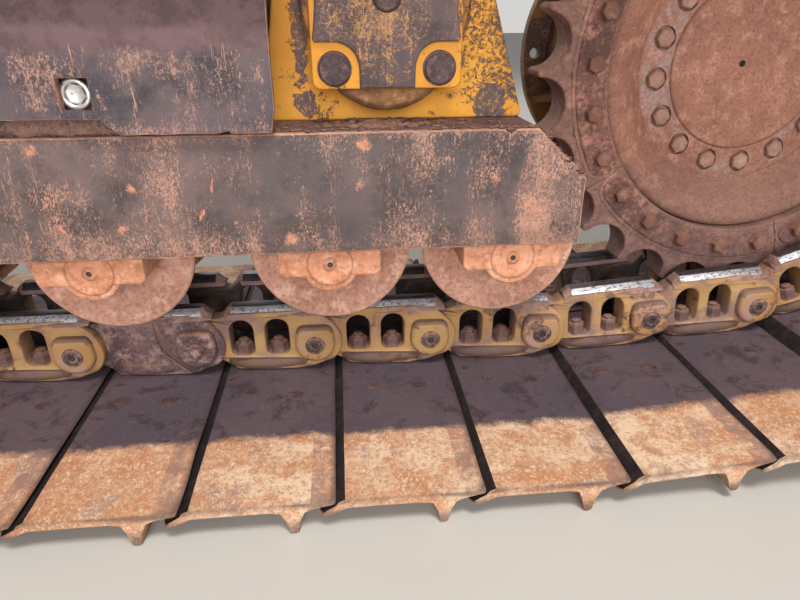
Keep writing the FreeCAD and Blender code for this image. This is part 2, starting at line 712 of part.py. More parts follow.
ring = disc(sprocket_axis, pitch_radius - size("tooth_depth"))
ring = ring.cut(disc(sprocket_axis, size("segment_inner_radius")))
gap_floor_radius = pitch_radius - size("bushing_radius") - size("bushing_clearance")
gap_middle_radius = gap_floor_radius + size("tooth_gap_radius")
gaps = []
for index in range(teeth):
    middle = on_sprocket(gap_middle_radius, gap_angle + 2 * math.pi * index / teeth, 0)
    gaps.append(disc(middle, size("tooth_gap_radius")))
for index in range(segments):
    width, slit = 2 * size("segment_half_width"), size("segment_slit")
    opening = Part.makeBox(pitch_radius, width, slit, Vector(0, -width / 2, -slit / 2))
    angle = math.degrees(gap_angle + 2 * math.pi * index / segments)
    opening.Placement = FreeCAD.Placement(sprocket_axis, FreeCAD.Rotation(Vector(0, -1, 0), angle))
    gaps.append(opening)
made_feature("sprocket_segments", ring.cut(gaps))

turned("sprocket_hub", [
    ("hub_bore_radius", "hub_inner_y"),
    ("hub_flange_radius", "hub_inner_y"),
    ("hub_flange_radius", "-segment_half_width"),
    ("segment_inner_radius - hub_seat_gap", "-segment_half_width"),
    ("segment_inner_radius - hub_seat_gap", "segment_half_width - hub_rim_step"),
    ("hub_flat_radius", "0"),
    ("hub_flat_radius", "-hub_recess"),
    ("hub_bore_radius", "-hub_recess"),
], "sprocket_x", "sprocket_z")
rod("drive_cover", "hub_bore_radius + cover_lap", "-hub_recess", "cover_plate - hub_recess",
    "sprocket_x", "sprocket_z")

housing = turned("final_drive_housing", [
    ("0", "drive_flange_y"),
    ("drive_flange_radius", "drive_flange_y"),
    ("drive_flange_radius", "drive_flange_y + drive_flange_plate"),
    ("drive_drum_radius", "drive_flange_y + drive_flange_plate"),
    ("drive_drum_radius", "hub_inner_y - drive_gap"),
    ("hub_bore_radius - drive_play", "hub_inner_y - drive_gap"),
    ("hub_bore_radius - drive_play", "-hub_recess"),
    ("0", "-hub_recess"),
], "sprocket_x", "sprocket_z")
hole_sketch = sketch_on(housing, "XZ_Plane", "-drive_flange_y")
draw_circle(hole_sketch, "drive_bolt_circle", "0", "drive_bolt_hole")
first_hole = housing.newObject("PartDesign::Pocket", "flange_hole")
first_hole.Profile = hole_sketch
bind(first_hole, Length="drive_flange_plate")
hole_circle = housing.newObject("PartDesign::PolarPattern", "flange_holes")
hole_circle.Originals = [first_hole]
hole_circle.Axis = (hole_sketch, ["N_Axis"])
hole_circle.Angle = 360
bind(hole_circle, Occurrences="drive_bolt_count")
housing.Tip = hole_circle

# Track frame and roller guards.

frame = long_beam("track_frame", [
    ("-frame_half_width", "frame_bottom"),
    ("-frame_rail_inner", "frame_bottom"),
    ("-frame_rail_inner", "frame_cavity"),
    ("frame_rail_inner", "frame_cavity"),
    ("frame_rail_inner", "frame_bottom"),
    ("frame_half_width", "frame_bottom"),
    ("frame_half_width", "frame_top"),
    ("-frame_half_width", "frame_top"),
], "frame_rear", "frame_front")
notches = sketch_on(frame, "XY_Plane", "frame_top")
for near, far in (("idler_x - idler_flange_radius - wheel_clearance", "frame_front"),
                  ("sprocket_x + pitch_radius - tooth_depth + wheel_clearance", "frame_rear")):
    draw_outline(notches, [(near, "-frame_rail_inner"), (far, "-frame_rail_inner"),
                           (far, "frame_rail_inner"), (near, "frame_rail_inner")])
notch_cut = frame.newObject("PartDesign::Pocket", "wheel_notches")
notch_cut.Profile = notches
bind(notch_cut, Length="frame_roof")
corners = sketch_on(frame, "XZ_Plane", "frame_half_width")
draw_outline(corners, [
    ("guard_rear + guard_chamfer_run", "frame_top"),
    ("frame_rear", "frame_top"),
    ("frame_rear", "frame_top - guard_chamfer_drop * (1 - guard_rear_lap / guard_chamfer_run)"),
])
draw_outline(corners, [
    ("guard_front - guard_chamfer_run", "frame_top"),
    ("frame_front", "frame_top"),
    ("frame_front", "frame_top - guard_chamfer_drop * (1 - guard_front_lap / guard_chamfer_run)"),
])
corner_cut = frame.newObject("PartDesign::Pocket", "sloped_corners")
corner_cut.Profile = corners
bind(corner_cut, Length="2 * frame_half_width")

GUARD_OUTLINE = [
    ("guard_rear", "guard_bottom"),
    ("guard_front", "guard_bottom"),
    ("guard_front", "frame_top - guard_chamfer_drop"),
    ("guard_front - guard_chamfer_run", "frame_top"),
    ("guard_rear + guard_chamfer_run", "frame_top"),
    ("guard_rear", "frame_top - guard_chamfer_drop"),
]
side_plate("roller_guard_outer", GUARD_OUTLINE, "frame_half_width", "frame_half_width + guard_plate")
side_plate("roller_guard_inner", GUARD_OUTLINE, "-frame_half_width - guard_plate", "-frame_half_width")

# Track rollers with a flange at each end, and the blocks that hold their shafts.

rollers, roller_blocks = [], []
for number, station in enumerate(roller_stations, start=1):
    rollers.append(turned(f"track_roller_{number}", [
        ("0", "-roller_half_width"),
        ("roller_flange_radius", "-roller_half_width"),
        ("roller_flange_radius", "-roller_flange_y"),
        ("roller_tread_radius", "-roller_flange_y"),
        ("roller_tread_radius", "roller_flange_y"),
        ("roller_flange_radius", "roller_flange_y"),
        ("roller_flange_radius", "roller_half_width"),
        ("0", "roller_half_width"),
    ], station, "roller_z"))
    block_outline = [
        (f"{station} - block_wing", "frame_bottom"),
        (f"{station} + block_wing", "frame_bottom"),
        (f"{station} + block_wing", "roller_z - block_shoulder"),
        (f"{station} + block_boss", "roller_z - block_shoulder"),
        (f"{station} + block_nose", "roller_z - block_drop"),
        (f"{station} - block_nose", "roller_z - block_drop"),
        (f"{station} - block_boss", "roller_z - block_shoulder"),
        (f"{station} - block_wing", "roller_z - block_shoulder"),
    ]
    for side, low, high in (("outer", "roller_half_width + end_play", "frame_half_width"),
                            ("inner", "-frame_half_width", "-roller_half_width - end_play")):
        roller_blocks.append(side_plate(f"roller_{number}_{side}_block", block_outline, low, high))
group("track_rollers", rollers)
group("roller_blocks", roller_blocks)

# Recoil beam, and the front cover bent over its shoulder.

long_beam("recoil_beam", [
    ("-frame_half_width", "frame_top"),
    ("frame_half_width", "frame_top"),
    ("frame_half_width", "beam_top - beam_shoulder"),
    ("frame_half_width - beam_shoulder", "beam_top"),
    ("-frame_half_width", "beam_top"),
], "beam_rear", "beam_front")

cover = long_beam("front_cover", [
    ("frame_half_width", "cover_low_edge"),
    ("frame_half_width + cover_sheet", "cover_low_edge"),
    ("frame_half_width + cover_sheet", "beam_top - beam_shoulder + cover_sheet * tan(22.5)"),
    ("frame_half_width - beam_shoulder + cover_sheet * sin(45)", "beam_top + cover_sheet * sin(45)"),
    ("frame_half_width - beam_shoulder", "beam_top"),
    ("frame_half_width", "beam_top - beam_shoulder"),
], "cover_rear", "cover_rear + cover_length")
openings = sketch_on(cover, "XZ_Plane", "-frame_half_width")
draw_outline(openings, [
    ("cover_rear + cover_step_place", "cover_low_edge"),
    ("cover_rear + cover_length", "cover_low_edge"),
    ("cover_rear + cover_length", "cover_low_edge + cover_step_rise"),
    ("cover_rear + cover_step_place + cover_step_run", "cover_low_edge + cover_step_rise"),
])
draw_outline(openings, [
    ("port_x - port_width / 2", "port_z - port_height / 2"),
    ("port_x + port_width / 2", "port_z - port_height / 2"),
    ("port_x + port_width / 2", "port_z + port_height / 2"),
    ("port_x - port_width / 2", "port_z + port_height / 2"),
])
cover_cut = cover.newObject("PartDesign::Pocket", "step_and_port")
cover_cut.Profile = openings
bind(cover_cut, Length="cover_sheet")
prism("grease_fitting", 6, "fitting_radius", "frame_half_width",
      "frame_half_width + cover_sheet - fitting_inset", "port_x", "port_z")

# Pivot saddle with its hub and bore, closed outboard by a bolted cap.

saddle = side_plate("pivot_saddle_blank", [
    ("saddle_foot_rear", "frame_top"),
    ("saddle_foot_front", "frame_top"),
    ("pivot_x + saddle_top_reach", "pivot_z + saddle_top_rise"),
    ("saddle_foot_rear + saddle_rear_taper", "pivot_z + saddle_top_rise"),
], "-saddle_half_width", "saddle_half_width")
hub = rod("pivot_hub_blank", "pivot_hub_radius", "pivot_hub_inner", "pivot_hub_outer", "pivot_x", "pivot_z")
lower_boss = rod("lower_boss_blank", "lower_boss_radius", "0", "pivot_hub_outer - lower_boss_setback",
                 "pivot_x", "pivot_z - lower_boss_drop")
bore = rod("pivot_bore_tool", "pivot_bore_radius", "pivot_hub_inner", "pivot_hub_inner + pivot_bore_depth",
           "pivot_x", "pivot_z")
cut("pivot_casting", joined("pivot_casting_blank", [saddle, hub, lower_boss]), bore)

cap = side_plate("pivot_cap", [
    ("pivot_x - cap_width / 2", "pivot_z - cap_height / 2"),
    ("pivot_x + cap_width / 2", "pivot_z - cap_height / 2"),
    ("pivot_x + cap_width / 2", "pivot_z + cap_height / 2"),
    ("pivot_x - cap_width / 2", "pivot_z + cap_height / 2"),
], "pivot_hub_outer", "pivot_hub_outer + cap_plate")
doc.recompute()
plate = cap.Tip
corners = [f"Edge{index}" for index, edge in enumerate(plate.Shape.Edges, start=1)
           if edge.BoundBox.YLength > size("cap_plate") / 2]
rounding = cap.newObject("PartDesign::Fillet", "pivot_cap_corners")
rounding.Base = (plate, corners)
bind(rounding, Radius="cap_corner")

CAP_BOLTS = (
    # name, side along X, side up
    ("rear_low", "-", "-"),
    ("rear_high", "-", "+"),
    ("front_low", "+", "-"),
    ("front_high", "+", "+"),
)
group("pivot_cap_bolts", [
    prism(f"cap_bolt_{name}", 12, "cap_bolt_radius", "pivot_hub_outer + cap_plate",
          "pivot_hub_outer + cap_plate + cap_bolt_head",
          f"pivot_x {along} (cap_width / 2 - cap_bolt_edge_x)",
          f"pivot_z {up} (cap_height / 2 - cap_bolt_edge_z)")
    for name, along, up in CAP_BOLTS
])

# Carrier rollers on brackets that stand on the beam, inboard of the chain.

carriers, brackets = [], []
for end in ("front", "rear"):
    station = f"carrier_{end}_x"
    axis_z = f"carrier_{end}_z"
    carriers.append(rod(f"carrier_roller_{end}", "carrier_tread_radius", "-carrier_half_width",
                        "carrier_half_width", station, axis_z))
    outboard = "-carrier_half_width - end_play"
    inboard = f"{outboard} - carrier_bracket_width"
    post = side_plate(f"carrier_post_{end}", [
        (f"{station} - carrier_bracket_foot / 2", "beam_top"),
        (f"{station} + carrier_bracket_foot / 2", "beam_top"),
        (f"{station} + carrier_clamp_radius", axis_z),
        (f"{station} - carrier_clamp_radius", axis_z),
    ], inboard, outboard)
    clamp = rod(f"carrier_clamp_{end}", "carrier_clamp_radius", inboard, outboard, station, axis_z)
    brackets.append(joined(f"carrier_bracket_{end}", [post, clamp]))
group("carrier_rollers", carriers)
group("carrier_brackets", brackets)

# Idler, its bearing blocks, and the yoke whose rod bears on the recoil spring.

turned("idler", [
    ("0", "-idler_hub_half"),
    ("idler_hub_radius", "-idler_hub_half"),
    ("idler_hub_radius", "-rail_outer"),
    ("idler_tread_radius", "-rail_outer"),
    ("idler_tread_radius", "idler_flange_gap - rail_inner"),
    ("idler_flange_radius", "idler_flange_gap - rail_inner"),
    ("idler_flange_radius", "rail_inner - idler_flange_gap"),
    ("idler_tread_radius", "rail_inner - idler_flange_gap"),
    ("idler_tread_radius", "rail_outer"),
    ("idler_hub_radius", "rail_outer"),
    ("idler_hub_radius", "idler_hub_half"),
    ("0", "idler_hub_half"),
], "idler_x", "idler_z")

bearing_blocks, yoke_pieces = [], []
for side, low, high in (("outer", "idler_block_inner", "idler_block_outer"),
                        ("inner", "-idler_block_outer", "-idler_block_inner")):
    bearing_blocks.append(block(f"idler_block_{side}", "yoke_front", "yoke_front + idler_block_length",
                                low, high, "idler_z - idler_block_height / 2",
                                "idler_z + idler_block_height / 2"))
    yoke_pieces.append(block(f"yoke_arm_{side}", "yoke_rear", "yoke_front", low, high,
                             "yoke_low", "yoke_high"))
yoke_pieces.append(block("yoke_bridge_bar", "yoke_rear", "bridge_front", "-idler_block_outer",
                         "idler_block_outer", "min(yoke_low; recoil_z - recoil_rod_radius)",
                         "max(yoke_high; recoil_z + recoil_rod_radius)"))
yoke_pieces.append(rod_along("recoil_rod", "recoil_rod_radius", "beam_front + recoil_plate",
                             "yoke_rear + yoke_bridge / 2", "recoil_z"))
group("idler_blocks", bearing_blocks)
joined("idler_yoke", yoke_pieces)
block("recoil_end_plate", "beam_front", "beam_front + recoil_plate", "-recoil_plate_width / 2",
      "recoil_plate_width / 2", "recoil_z - recoil_plate_width / 2", "recoil_z + recoil_plate_width / 2")

NODES = (
    "track_frame", "roller_guard_outer", "roller_guard_inner", "recoil_beam", "front_cover",
    "grease_fitting", "pivot_casting", "pivot_cap", "pivot_cap_bolts", "track_rollers",
    "roller_blocks", "carrier_rollers", "carrier_brackets", "idler", "idler_blocks", "idler_yoke",
    "recoil_end_plate", "sprocket_hub", "sprocket_segments", "drive_cover", "final_drive_housing",
    "outer_links", "master_link", "inner_links", "track_bushings", "track_shoes",
)

doc.recompute()
for item in doc.Objects:
    faults = {"Invalid", "Error"}.intersection(item.State)
    if faults:
        raise RuntimeError(f"{item.Label}: {sorted(faults)}")

os.makedirs("parts", exist_ok=True)
for node in NODES:
    shape = doc.getObjectsByLabel(node)[0].Shape
    if shape.isNull() or not shape.isValid():
        raise RuntimeError(f"{node}: no valid shape")
for node in NODES:
    doc.getObjectsByLabel(node)[0].Shape.exportStep(f"parts/{node}.step")
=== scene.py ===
import math

import bpy
import numpy as np
from mathutils import Matrix, Vector, noise


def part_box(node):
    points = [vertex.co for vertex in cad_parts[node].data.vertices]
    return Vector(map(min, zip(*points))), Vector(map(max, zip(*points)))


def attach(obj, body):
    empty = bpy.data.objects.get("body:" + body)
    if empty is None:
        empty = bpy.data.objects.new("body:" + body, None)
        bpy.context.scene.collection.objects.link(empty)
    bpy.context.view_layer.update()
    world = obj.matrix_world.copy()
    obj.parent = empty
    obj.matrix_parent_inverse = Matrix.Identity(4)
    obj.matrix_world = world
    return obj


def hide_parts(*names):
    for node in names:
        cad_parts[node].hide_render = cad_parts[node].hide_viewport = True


# The left crawler track unit of a bulldozer. X points forward to the idler, Y outboard
# and Z up. Sizes in this script are in millimetres until a piece is made.

MM = 0.001
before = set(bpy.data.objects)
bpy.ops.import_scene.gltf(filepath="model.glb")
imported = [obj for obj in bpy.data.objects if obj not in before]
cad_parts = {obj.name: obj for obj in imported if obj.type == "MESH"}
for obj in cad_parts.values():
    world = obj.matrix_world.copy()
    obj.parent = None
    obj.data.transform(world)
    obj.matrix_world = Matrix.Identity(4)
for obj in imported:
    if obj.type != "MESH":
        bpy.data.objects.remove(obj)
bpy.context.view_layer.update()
random = np.random.default_rng(7)
# Without a seed of its own, this noise would change from run to run.
noise.seed_set(7)


# Frame: places read from the CAD model.

def box_mm(node):
    low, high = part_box(node)
    return np.array(low) / MM, np.array(high) / MM


def middle_of(node):
    return sum(box_mm(node)) / 2


def points_of(node):
    return np.array([vertex.co[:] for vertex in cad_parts[node].data.vertices]) / MM


def groups(points, reach):
    # Splits points in a plane into groups, each within reach of its first point.
    while len(points):
        near = np.linalg.norm(points - points[0], axis=1) < reach
        yield points[near]
        points = points[~near]


def solid_middles(node, reach):
    # Middles in X and Z of a node's like solids, each one smaller than reach.
    points = np.unique(np.round(points_of(node)[:, [0, 2]], 1), axis=0)
    return np.array([group.mean(axis=0) for group in groups(points, reach)])


BUSHING_REACH, ROLLER_REACH, CARRIER_REACH = 80, 285, 220
PIN_HEIGHT = 116
FIRST_PIN_X = -25

# The chain's pins in order, rearward from the first one.
loose_pins = solid_middles("track_bushings", BUSHING_REACH)
pins, last_pin = [], np.array((FIRST_PIN_X, PIN_HEIGHT))
while len(loose_pins):
    away = np.linalg.norm(loose_pins - last_pin, axis=1)
    if len(pins) == 1:
        away += 1000 * (loose_pins[:, 0] > last_pin[0])
    nearest = np.argmin(away)
    last_pin = loose_pins[nearest]
    pins.append(last_pin)
    loose_pins = np.delete(loose_pins, nearest, axis=0)

PITCH = float(np.linalg.norm(pins[1] - pins[0]))
MASTER_LINK = 2

link_frames = []
for front_pin, rear_pin in zip(pins, pins[1:] + pins[:1]):
    x, z = (front_pin - rear_pin) / np.linalg.norm(front_pin - rear_pin)
    turn = np.array([[x, 0, -z], [0, 1, 0], [z, 0, x]])
    link_frames.append((turn, np.array([rear_pin[0], 0, rear_pin[1]])))

sprocket = middle_of("sprocket_hub") * (1, 0, 1)
idler = middle_of("idler") * (1, 0, 1)
pivot = middle_of("pivot_cap") * (1, 0, 1)
fitting = middle_of("grease_fitting")
roller_z = middle_of("track_rollers")[2]
roller_xs = sorted(x for x, z in solid_middles("track_rollers", ROLLER_REACH))
frame_low, frame_high = box_mm("track_frame")
guard_low, guard_high = box_mm("roller_guard_outer")
beam_low, beam_high = box_mm("recoil_beam")
cover_low, cover_high = box_mm("front_cover")
hub_low, hub_high = box_mm("pivot_casting")
cap_low, cap_high = box_mm("pivot_cap")
bolts_low, bolts_high = box_mm("pivot_cap_bolts")
housing_low, housing_high = box_mm("final_drive_housing")


# Mesh building.

class Part:
    """Vertices, faces and one material index for each face."""

    def __init__(self, vertices, faces, materials=None):
        self.vertices = np.array(vertices, float)
        self.faces = faces
        self.materials = materials or [0] * len(faces)

    def warped(self, change):
        # change takes all x, y and z and gives the new ones.
        return Part(np.stack(change(*self.vertices.T), axis=1), self.faces, self.materials)

    def moved(self, x=0.0, y=0.0, z=0.0):
        return Part(self.vertices + (x, y, z), self.faces, self.materials)

    def spun(self, degrees):
        # Turned about the Y axis, from X towards Z.
        c, s = at(1, degrees)
        return self.warped(lambda x, y, z: (c * x - s * z, y, s * x + c * z))

    def stood_up(self):
        # A piece along Y becomes one along Z.
        return self.warped(lambda x, y, z: (x, -z, y))

    def mirrored(self):
        # The inboard twin of an outboard piece.
        return Part(self.vertices * (1, -1, 1), [face[::-1] for face in self.faces], self.materials)

    def roughened(self, amount, size, seed=0.0):
        # Moves the vertices a little, as on worn or caked metal.
        shifts = [noise.noise_vector(Vector(v) / size + Vector((seed, 0, 0))) for v in self.vertices]
        return Part(self.vertices + np.array(shifts) * amount, self.faces, self.materials)

    def painted(self, finish):
        # finish is a material index, or finds it from the middle of a face.
        finishes = [finish] * len(self.faces)
        if callable(finish):
            finishes = [finish(*self.vertices[list(face)].mean(axis=0)) for face in self.faces]
        return Part(self.vertices, self.faces, finishes)


def joined(parts):
    vertices, faces, materials, base = [], [], [], 0
    for part in parts:
        vertices.append(part.vertices)
        faces += [tuple(corner + base for corner in face) for face in part.faces]
        materials += part.materials
        base += len(part.vertices)
    return Part(np.concatenate(vertices), faces, materials)


def on_links(part, chosen):
    # Copies of a piece drawn in a link's own frame, on the chosen links.
    return joined([Part(part.vertices @ turn.T + origin, part.faces, part.materials)
                   for turn, origin in (link_frames[index] for index in chosen)])


def at(radius, degrees):
    return radius * math.cos(math.radians(degrees)), radius * math.sin(math.radians(degrees))


def circle(radius, count, centre=(0, 0), start=0.0, end=360.0):
    # Points on a circle or, where end is given, on an arc with both ends included.
    angles = np.linspace(start, end, count, endpoint=abs(end - start) < 360)
    return [(centre[0] + x, centre[1] + z) for x, z in (at(radius, angle) for angle in angles)]


def rounded(corners, radius, count=5):
    # The outline with each corner rounded by an arc of about this radius.
    points = np.array(corners, float)
    result = []
    for before, corner, after in zip(np.roll(points, 1, axis=0), points, np.roll(points, -1, axis=0)):
        back, ahead = np.linalg.norm(before - corner), np.linalg.norm(after - corner)
        reach = min(radius, back * 0.45, ahead * 0.45)
        begin, finish = corner + (before - corner) / back * reach, corner + (after - corner) / ahead * reach
        for share in np.linspace(0, 1, count):
            rest = 1 - share
            result.append(tuple(rest ** 2 * begin + 2 * share * rest * corner + share ** 2 * finish))
    return result


def signed_area(outline):
    x, z = np.array(outline).T
    return 0.5 * np.sum(x * np.roll(z, -1) - np.roll(x, -1) * z)


def without_repeats(faces):
    # Each face without its repeated corners, and none with fewer than three.
    rings = [tuple(dict.fromkeys(face)) for face in faces]
    return [ring for ring in rings if len(ring) > 2]


WELD_DISTANCE = 0.01


def plate(outlines, y_low, y_high, bevel=2.0, steps=2):
    # A flat piece with rounded edges: its outline in X and Z, then any holes.
    curve = bpy.data.curves.new("plate", "CURVE")
    curve.dimensions = "2D"
    curve.fill_mode = "BOTH"
    curve.extrude = (y_high - y_low) / 2 - bevel
    curve.bevel_depth = bevel
    curve.bevel_resolution = steps
    curve.offset = -bevel
    for number, outline in enumerate(outlines):
        if signed_area(outline) * (-1 if number else 1) < 0:
            outline = outline[::-1]
        spline = curve.splines.new("POLY")
        spline.points.add(len(outline) - 1)
        spline.points.foreach_set("co", [value for x, z in outline for value in (x, z, 0, 1)])
        spline.use_cyclic_u = True
    holder = bpy.data.objects.new("plate", curve)
    bpy.context.scene.collection.objects.link(holder)
    mesh = bpy.data.meshes.new_from_object(holder.evaluated_get(bpy.context.evaluated_depsgraph_get()))
    x, z, y = np.array([vertex.co[:] for vertex in mesh.vertices]).T
    vertices = np.stack([x, (y_low + y_high) / 2 - y, z], axis=1)
    # The curve's caps and sides come apart, so corners that meet are made one.
    spots = {}
    index = [spots.setdefault(tuple(spot), len(spots))
             for spot in np.round(vertices / WELD_DISTANCE).astype(int).tolist()]
    firsts = np.unique(index, return_index=True)[1]
    faces = without_repeats([[index[corner] for corner in polygon.vertices] for polygon in mesh.polygons])
    bpy.data.objects.remove(holder)
    bpy.data.curves.remove(curve)
    bpy.data.meshes.remove(mesh)
    return Part(vertices[firsts], faces)


def lathe(profile, count=32):
    # A profile of (radius, y) turned about the Y axis.
    vertices, rings = [], []
    for radius, y in profile:
        around = [(x, y, z) for x, z in circle(radius, count)] if radius else [(0, y, 0)]
        rings.append([len(vertices) + number % len(around) for number in range(count)])
        vertices += around
    return Part(vertices, without_repeats(
        [(low[i - 1], low[i], high[i], high[i - 1])
         for low, high in zip(rings[:-1], rings[1:]) for i in (*range(1, count), 0)]))


def two_sided(half):
    # A profile given from its outboard end to its middle, then mirrored.
    return half + [(radius, -y) for radius, y in half[::-1]]


def loft(sections):
    # Joins closed sections of equal point counts, each a list of (x, y, z), with end caps.
    count = len(sections[0])
    last = count * (len(sections) - 1)
    faces = [(low + i, low + (i + 1) % count, low + count + (i + 1) % count, low + count + i)
             for low in range(0, last, count) for i in range(count)]
    caps = [tuple(range(count))[::-1], tuple(range(last, last + count))]
    return Part([point for section in sections for point in section], faces + caps)


def eased(value, low, high):
    share = np.clip((value - low) / (high - low), 0, 1)
    return share * share * (3 - 2 * share)


def make(name, part, materials, node=None, smooth=40):
    # A piece of the scene, which stands for a CAD node where one is given.
    mesh = bpy.data.meshes.new(name)
    mesh.from_pydata((part.vertices * MM).tolist(), [], part.faces)
    for material in materials:
        mesh.materials.append(material)
    mesh.polygons.foreach_set("material_index", part.materials)
    mesh.validate()
    mesh.update()
    piece = bpy.data.objects.new(name, mesh)
    bpy.context.scene.collection.objects.link(piece)
    mesh.shade_smooth()
    mesh.set_sharp_from_angle(angle=math.radians(smooth))
    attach(piece, "root")
    if node:
        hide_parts(node)
    return piece


# Materials.

def toned(colour, factor):
    return tuple(min(1.0, factor * c) for c in colour)


class Shader:
    """A node tree for one surface, drawn in the object's own coordinates."""

    def __init__(self, name, colour):
        self.material = bpy.data.materials.new(name)
        self.material.use_nodes = True
        self.tree = self.material.node_tree
        self.tree.nodes.clear()
        self.colour = colour
        self.place = self.node("TexCoord").outputs["Object"]
        self.x, self.y, self.z = self.node("SeparateXYZ", {0: self.place}).outputs
        geometry = self.node("NewGeometry").outputs
        self.up = self.node("SeparateXYZ", {0: geometry["Normal"]}).outputs["Z"]
        self.pointiness = geometry["Pointiness"]

    def node(self, kind, inputs=None, **settings):
        # A new node, each of whose inputs is linked or set.
        node = self.tree.nodes.new("ShaderNode" + kind)
        for name, value in settings.items():
            setattr(node, name, value)
        for name, value in (inputs or {}).items():
            if isinstance(value, bpy.types.NodeSocket):
                self.tree.links.new(value, node.inputs[name])
            else:
                node.inputs[name].default_value = value
        return node

    def mapped(self, scale, location=(0, 0, 0)):
        return self.node("Mapping", {"Vector": self.place, "Location": location, "Scale": scale}).outputs[0]

    def noise(self, scale, detail=6.0, rough=0.6, distortion=0.0):
        # The scale is one number, or one for each axis.
        place = self.place
        if isinstance(scale, tuple):
            place, scale = self.mapped(scale), 1.0
        return self.node("TexNoise", {"Vector": place, "Scale": scale, "Detail": detail, "Roughness": rough,
                                      "Distortion": distortion}).outputs["Fac"]

    def limits(self, value, low, high):
        # 0 below low, 1 above high, or the other way round where high is the smaller.
        return self.node("MapRange", {"Value": value, "From Min": min(low, high), "From Max": max(low, high),
                                      "To Min": float(low > high), "To Max": float(low < high)},
                         interpolation_type="SMOOTHSTEP").outputs["Result"]

    def maths(self, operation, first, second):
        return self.node("Math", {0: first, 1: second}, operation=operation, use_clamp=True).outputs[0]

    def times(self, first, second):
        return self.maths("MULTIPLY", first, second)

    def plus(self, value, *others):
        # The value and the others, each (value, weight).
        for other, weight in others:
            value = self.maths("ADD", value, self.times(other, weight))
        return value

    def mix(self, share, first, second):
        # The Mix node's colour sockets have no names of their own.
        first, second = ((*side, 1.0) if isinstance(side, tuple) else side for side in (first, second))
        return self.node("Mix", {"Factor": share, 6: first, 7: second}, data_type="RGBA").outputs[2]

    def coat(self, colour, share, amount=None):
        # Lays a colour over what is there.
        share = share if amount is None else self.times(share, amount)
        self.colour = self.mix(share, self.colour, colour)

    def edges(self, low=0.52, high=0.6):
        return self.limits(self.pointiness, low, high)

    def crevices(self):
        return self.limits(self.pointiness, 0.49, 0.42)

    def distance(self, spot, stretch):
        # From a place in millimetres, measured in metres that are stretched along the axes.
        place = self.mapped(stretch, [-MM * c * s for c, s in zip(spot, stretch)])
        return self.node("VectorMath", {0: place}, operation="LENGTH").outputs["Value"]

    def near(self, spot, radius, stretch=(1, 1, 1)):
        # 1 round a place given in millimetres, fading out raggedly at the radius.
        ragged = self.plus(self.distance(spot, stretch), (self.noise(55, 7, 0.75), 0.045))
        return self.limits(ragged, radius * MM + 0.026, radius * MM + 0.018)

    def ring(self, spot, inner, outer, fade):
        # 1 between two radii round an axis along Y, given in millimetres.
        value, inner, outer, fade = self.distance(spot, (1, 0, 1)), inner * MM, outer * MM, fade * MM
        return self.times(self.limits(value, inner - fade, inner + fade),
                          self.limits(value, outer + fade, outer - fade))

    def finish(self, rough, rough_by, bumps=(), metallic=0.0, specular=0.5):
        # The roughness lies between two values, and each bump is (value, depth in millimetres).
        rough = self.node("MapRange", {"Value": rough_by, "To Min": rough[0], "To Max": rough[1]})
        surface = self.node("BsdfPrincipled", {
            "Base Color": self.colour, "Roughness": rough.outputs["Result"], "Metallic": metallic,
            "Specular IOR Level": specular})
        self.node("OutputMaterial", {"Surface": surface.outputs["BSDF"]})
        normal = None
        for value, depth in bumps:
            bump = self.node("Bump", {"Height": value, "Strength": 1.0, "Distance": depth * MM})
            if normal:
                self.tree.links.new(normal, bump.inputs["Normal"])
            normal = bump.outputs["Normal"]
        if normal:
            self.tree.links.new(normal, surface.inputs["Normal"])
        return self.material


